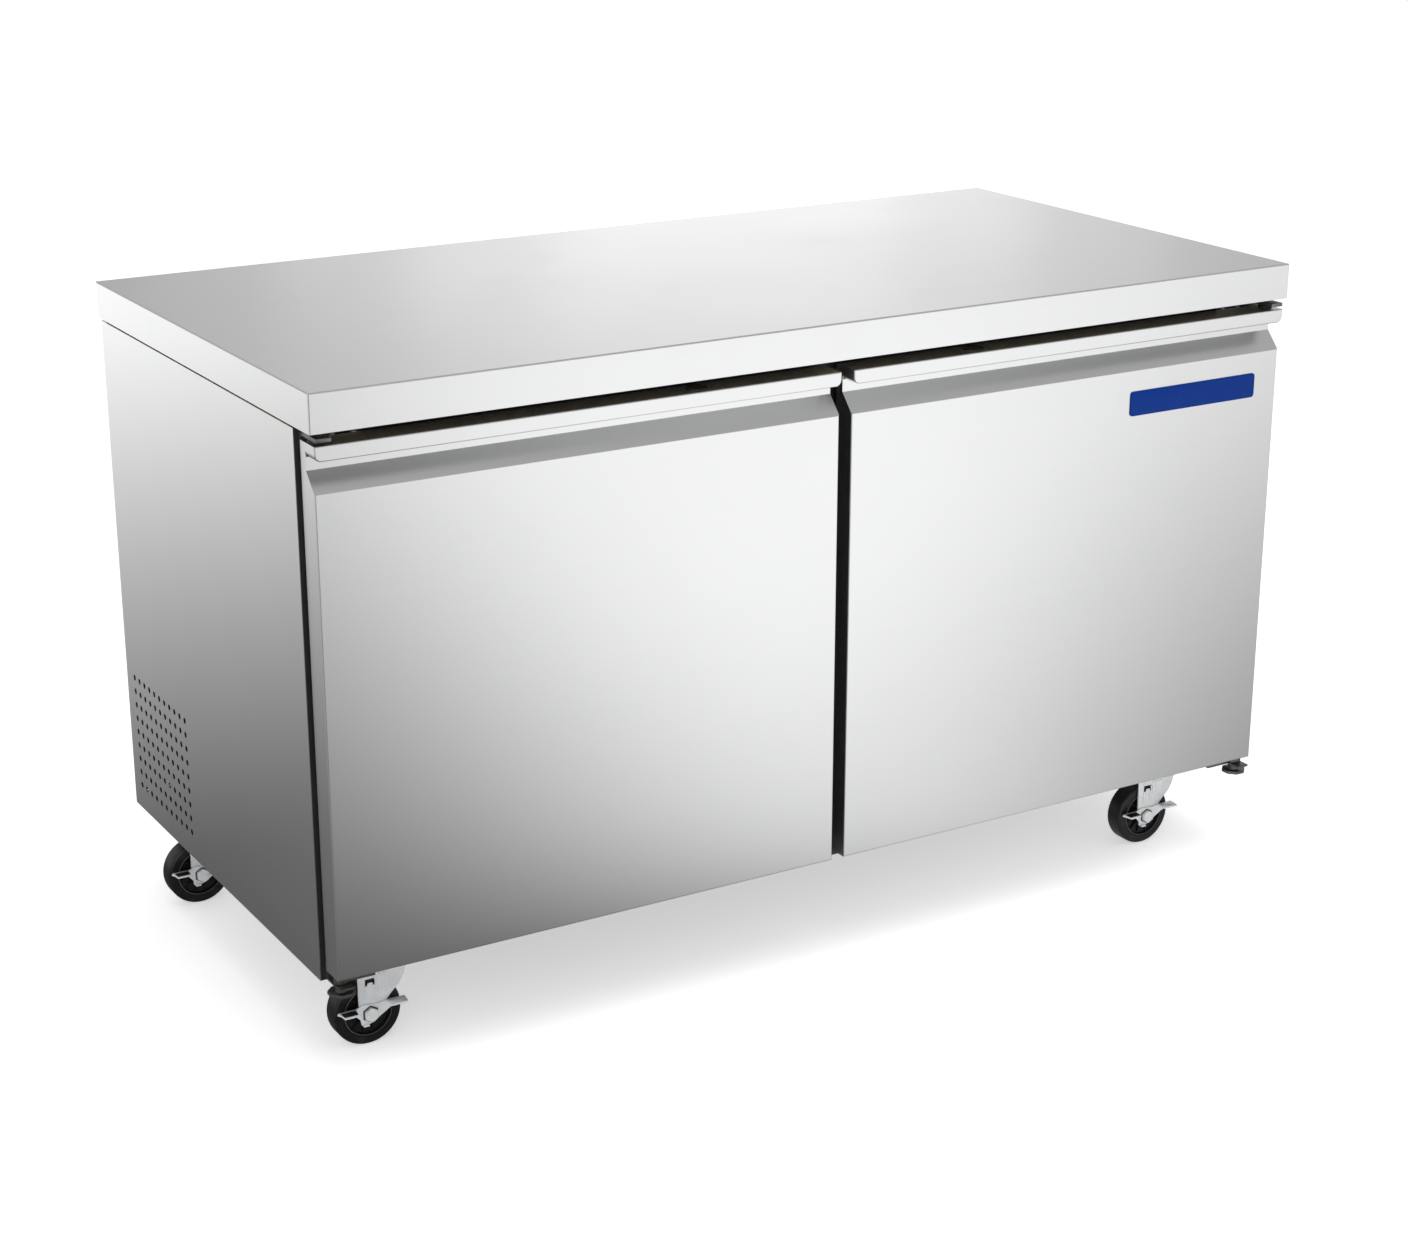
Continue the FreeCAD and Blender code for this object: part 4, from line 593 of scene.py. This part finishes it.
def wheel_shape(radius, width):
    """Tread and core about the Y axis: rounded shoulders, a bead round the core, a dished web."""
    clear_selection()
    bpy.ops.mesh.primitive_cylinder_add(vertices=WHEEL_SIDES, radius=radius, depth=width, rotation=ON_AXLE)
    wheel = started("wheel")
    choose(wheel, "EDGE", lambda middle, way: abs(abs(middle.y) - width / 2) < NEAR)
    bpy.ops.mesh.bevel(offset=TREAD_SHOULDER, segments=5, profile=0.5)
    done_editing()
    margin = radius * (1 - CORE_RING) - TREAD_SHOULDER - CORE_MARGIN
    for sign in (-1, 1):
        choose(wheel, "FACE", lambda middle, normal: normal.y * sign > FACING and on_axle(middle))
        bpy.ops.mesh.inset(thickness=margin, depth=0)
        for thickness, depth in CORE_STEPS:
            bpy.ops.mesh.inset(thickness=thickness, depth=depth)
        done_editing()
    return wheel


def highlight_ring_shape(radius, width):
    """Thin flattened ring where the core meets the tread, on both sides, in a lighter plastic that paints the
    highlight arc.
    """
    rings = []
    for sign in (-1, 1):
        middle_of_ring = (0, sign * (width / 2 - RING_SUNK), 0)
        clear_selection()
        bpy.ops.mesh.primitive_torus_add(major_radius=radius * CORE_RING, minor_radius=RING_SECTION,
                                         major_segments=WHEEL_SIDES, minor_segments=10,
                                         location=middle_of_ring, rotation=ON_AXLE)
        ring = started("ring")
        choose(ring, "FACE", lambda middle, normal: normal.y * sign > 0)
        bpy.ops.transform.resize(value=(1, RING_FLATNESS, 1), center_override=middle_of_ring)
        done_editing()
        rings.append(ring)
    return joined_pieces(rings, "core_ring")


def rib_shape(radius, width):
    """One short rib of the core, standing on the web of the +Y side, along +X."""
    inner, outer = (radius * share for share in RIB_ENDS)
    x = (inner + outer) / 2
    clear_selection()
    bpy.ops.mesh.primitive_cube_add(size=1, location=(x, width / 2 - RIB_SUNK, 0),
                                    scale=(outer - inner, RIB_HEIGHT, RIB_WIDTH))
    rib = started("rib")
    choose(rib, "FACE", lambda middle, normal: normal.y > FACING)
    bpy.ops.transform.resize(value=RIB_TOP, center_override=(x, width / 2, 0))
    done_editing()
    bevel_modifier(rib, CASTER_EDGE, 2)
    return rib


def leg_bead():
    """Stiffening bead pressed into a fork leg, half sunk in it, standing over the axle."""
    radius, length = LEG_BEAD
    clear_selection()
    bpy.ops.mesh.primitive_cylinder_add(vertices=20, radius=radius, depth=length,
                                        location=(0, -LEG_FACE + LEG_BEAD_SUNK, LEG_BEAD_Z))
    bead = started("bead")
    choose(bead, "FACE", lambda middle, normal: abs(normal.z) > FACING)
    draw_in, rise = LEG_BEAD_CROWN
    bpy.ops.mesh.inset(thickness=draw_in, depth=rise)
    done_editing()
    bevel_modifier(bead, CASTER_EDGE, 2)
    return bead


def spring_tongue():
    """The brake's spring: a strip with a turned-out nose, lying on the fork's leg."""
    clear_selection()
    bpy.ops.mesh.primitive_cube_add(size=1, location=TONGUE_PLACE, scale=TONGUE_SIZE)
    strip = started("tongue")
    choose(strip, "FACE", lambda middle, normal: normal.z > FACING)
    bpy.ops.mesh.extrude_region_move(TRANSFORM_OT_translate={"value": TONGUE_NOSE})
    bpy.ops.transform.resize(value=(TONGUE_NARROWS, 1, 1), center_override=TONGUE_NOSE_MIDDLE)
    done_editing()
    bevel_modifier(strip, TONGUE_EDGE, 2)
    return strip


def bolt_socket():
    """Thin dark six-sided washer round the axle's head: painted shade for the dark rim of the pedal's hex
    hole.
    """
    clear_selection()
    bpy.ops.mesh.primitive_cylinder_add(vertices=6, radius=SOCKET_RADIUS, depth=SOCKET_DEPTH,
                                        location=(0, SOCKET_Y, 0), rotation=ON_AXLE)
    washer = started("washer")
    choose(washer, "FACE", lambda middle, normal: normal.y < -FACING)
    rim, rise = SOCKET_RIM
    bpy.ops.mesh.inset(thickness=rim, depth=rise)
    done_editing()
    return washer


def wing_tread():
    """Ribbed grip on the pedal's left wing."""
    start = GRIP_PLACE[0] - GRIP_SIZE[0] / 2
    strip = GRIP_SIZE[0] / GRIP_STRIPS
    clear_selection()
    bpy.ops.mesh.primitive_cube_add(size=1, location=GRIP_PLACE, scale=GRIP_SIZE)
    pad = started("pad")
    take(pad)
    bpy.ops.object.mode_set(mode="EDIT")
    for i in range(1, GRIP_STRIPS):
        bpy.ops.mesh.select_all(action="SELECT")
        bpy.ops.mesh.bisect(plane_co=(start + strip * i, 0, 0), plane_no=(1, 0, 0))
    done_editing()
    choose(pad, "FACE", lambda middle, normal: normal.z > FACING and (middle.x - start) / strip % 2 > 1)
    bpy.ops.mesh.extrude_region_move(TRANSFORM_OT_translate={"value": (0, 0, GRIP_RIDGE)})
    done_editing()
    bevel_modifier(pad, GRIP_EDGE, 1)
    return pad


def caster_fittings():
    """Small pieces of one caster about its wheel's middle: name, piece, carrying part, finish, copies' x."""
    return [
        ("leg_beads", leg_bead(), "fork", zinc, LEG_BEADS_X),
        ("spring_tongue", spring_tongue(), "fork", zinc, (0,)),
        # a thin dark washer that paints the shade round the axle's head
        ("bolt_socket", bolt_socket(), "fork", shaded_hinge_finish, (0,)),
        ("wing_tread", wing_tread(), "brake_pedal", core_plastic, (0,)),
    ]


def casters():
    low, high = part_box("front_left_caster_wheel")
    radius, width = (high.z - low.z) / 2, high.y - low.y
    wheel = wheel_shape(radius, width)
    rib = rib_shape(radius, width)
    ribs = []
    for side in (0, 1):
        flip = Matrix.Rotation(math.pi * side, 4, "X")
        for i in range(RIB_COUNT):
            turn = flip @ Matrix.Rotation(2 * math.pi * (i + 0.5) / RIB_COUNT, 4, "Y")
            ribs.append(copied(rib, "rib_copy", turn=turn))
    core = joined_pieces(ribs, "core_ribs")
    ring = highlight_ring_shape(radius, width)
    fittings = caster_fittings()
    for corner in CASTERS:
        node = f"{corner}_caster_wheel"
        low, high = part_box(node)
        centre = (low + high) / 2
        body = body_of_node(node)
        tread = copied(wheel, f"{corner}_wheel", move=centre)
        finish_piece(tread, body, rubber, angle=TREAD_SMOOTH_ANGLE)
        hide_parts(node)
        finish_piece(copied(core, f"{corner}_core_ribs", move=centre), body, core_plastic)
        # the lighter ring paints the highlight arc on the wheel's side
        finish_piece(copied(ring, f"{corner}_core_ring", move=centre), body, ring_plastic)
        for part in ("fork", "brake_pedal", "axle"):
            rounded_copy(f"{corner}_caster_{part}", CASTER_EDGE, zinc)
        for name, piece, part, finish, places in fittings:
            row = [copied(piece, "fitting_copy", move=centre + Vector((x, 0, 0))) for x in places]
            whole = joined_pieces(row, f"{corner}_{name}")
            finish_piece(whole, body_of_node(f"{corner}_caster_{part}"), finish)
    for spare in (wheel, rib, core, ring, *(entry[1] for entry in fittings)):
        bpy.data.objects.remove(spare)


# ---- studio --------------------------------------------------------------------------------
def stage_plane(name, size, height, material):
    clear_selection()
    bpy.ops.mesh.primitive_plane_add(size=size, location=(0, 0, height))
    plane = started(name)
    plane.data.materials.append(material)
    return plane


def floor_finish():
    f = Finish("studio_floor")
    cloud = f.noise(0.7, 3)
    glow = f.blend(cloud, (0.97, 0.97, 0.97), (1.0, 1.0, 1.0))
    f.feed(f.shader.inputs["Emission Color"], glow)
    f.shader.inputs["Emission Strength"].default_value = FLOOR_GLOW
    f.shader.inputs["Specular IOR Level"].default_value = 0.0
    return f.set(f.blend(cloud, (0.90, 0.90, 0.90), (0.93, 0.93, 0.93)), 0.85 + cloud * 0.1)


def card_finish():
    """Graduated card on the floor, seen only by reflections: dark near the cabinet, a bright streak ahead."""
    f = Finish("graduated_card")
    x, y, z = f.axes()
    beside = (abs(x) - cad_high.x).math("MAXIMUM", 0.0)
    behind = (y - cad_high.y).math("MAXIMUM", 0.0) * CARD_BACK
    before = (cad_low.y - y).math("MAXIMUM", 0.0) * CARD_FRONT
    beyond = behind + before
    away = (beside * beside + beyond * beyond).math("SQRT")
    turn = math.radians(STREAK_TURN)
    from_x, from_y = x - STREAK_FROM[0], y - STREAK_FROM[1]
    along = from_x * math.sin(turn) - from_y * math.cos(turn)
    across = from_x * math.cos(turn) + from_y * math.sin(turn)
    ahead = along.math("MAXIMUM", 0.0)
    share = across / (ahead * STREAK_SPREAD + STREAK_WIDTH)
    shape = (share * share * -1).math("EXPONENT") * along.between(*STREAK_START)
    streak = shape * (ahead * STREAK_RISE + STREAK_GAIN)
    level = (away * CARD_RISE + CARD_DARK + streak).math("MINIMUM", CARD_FULL)
    f.set((0.0, 0.0, 0.0), 1.0)
    f.shader.inputs["Specular IOR Level"].default_value = 0.0
    glow = f.blend(level, (0.0, 0.0, 0.0), (1.0, 1.0, 1.0), clamped=False)
    f.feed(f.shader.inputs["Emission Color"], glow)
    f.shader.inputs["Emission Strength"].default_value = 1.0
    return f.material


def softbox(name, place, target, size, brightness):
    data = bpy.data.lights.new(name, "AREA")
    data.shape = "RECTANGLE"
    data.size, data.size_y = size
    data.energy = brightness * math.pi * data.size * data.size_y
    light = bpy.data.objects.new(name, data)
    bpy.context.scene.collection.objects.link(light)
    light.location = place
    light.rotation_euler = (Vector(target) - Vector(place)).to_track_quat("-Z", "Y").to_euler()
    light.visible_camera = False
    return light


def studio():
    stage_plane("floor", FLOOR_SIZE, 0.0, floor_finish())
    card = stage_plane("reflection_card", CARD_SIZE, CARD_LIFT, card_finish())
    card.visible_camera = False
    card.visible_diffuse = False
    card.visible_shadow = False
    card.visible_transmission = False
    overhead = softbox("overhead", *OVERHEAD_LIGHT)
    overhead.visible_glossy = False
    for i, (width, brightness) in enumerate(BACK_LIGHTS):
        x, y, z = BACK_LIGHT_PLACE * (1 + BACK_LIGHT_STEP * i)
        place = (x, y, BACK_LIGHT_RAISED)
        softbox("back_right", place, BACK_LIGHT_AIM, (width, BACK_LIGHT_HEIGHT), brightness)
    softbox("front_left", *FRONT_LEFT_LIGHT)
    world = bpy.data.worlds.new("studio_world")
    world.use_nodes = True
    background = world.node_tree.nodes["Background"]
    background.inputs["Strength"].default_value = WORLD_GREY
    background.inputs["Color"].default_value = (1.0, 1.0, 1.0, 1.0)
    bpy.context.scene.world = world
    bpy.context.scene.view_settings.view_transform = "Standard"


# ---- make everything -----------------------------------------------------------------------
HINGE_EDGE = 0.0006
SMALL_EDGE = 0.0004
KNOB_EDGE = 0.0005

camera()
clear_selection()
dress_cad_nodes()
casters()
for hinge_node in HINGE_NODES:
    rounded_copy(hinge_node, HINGE_EDGE, shaded_hinge_finish)
rounded_copy("fasteners", SMALL_EDGE, zinc)
rounded_copy("door_badge", SMALL_EDGE, badge)
rounded_copy("thermostat_knob", KNOB_EDGE, black_plastic)
studio()
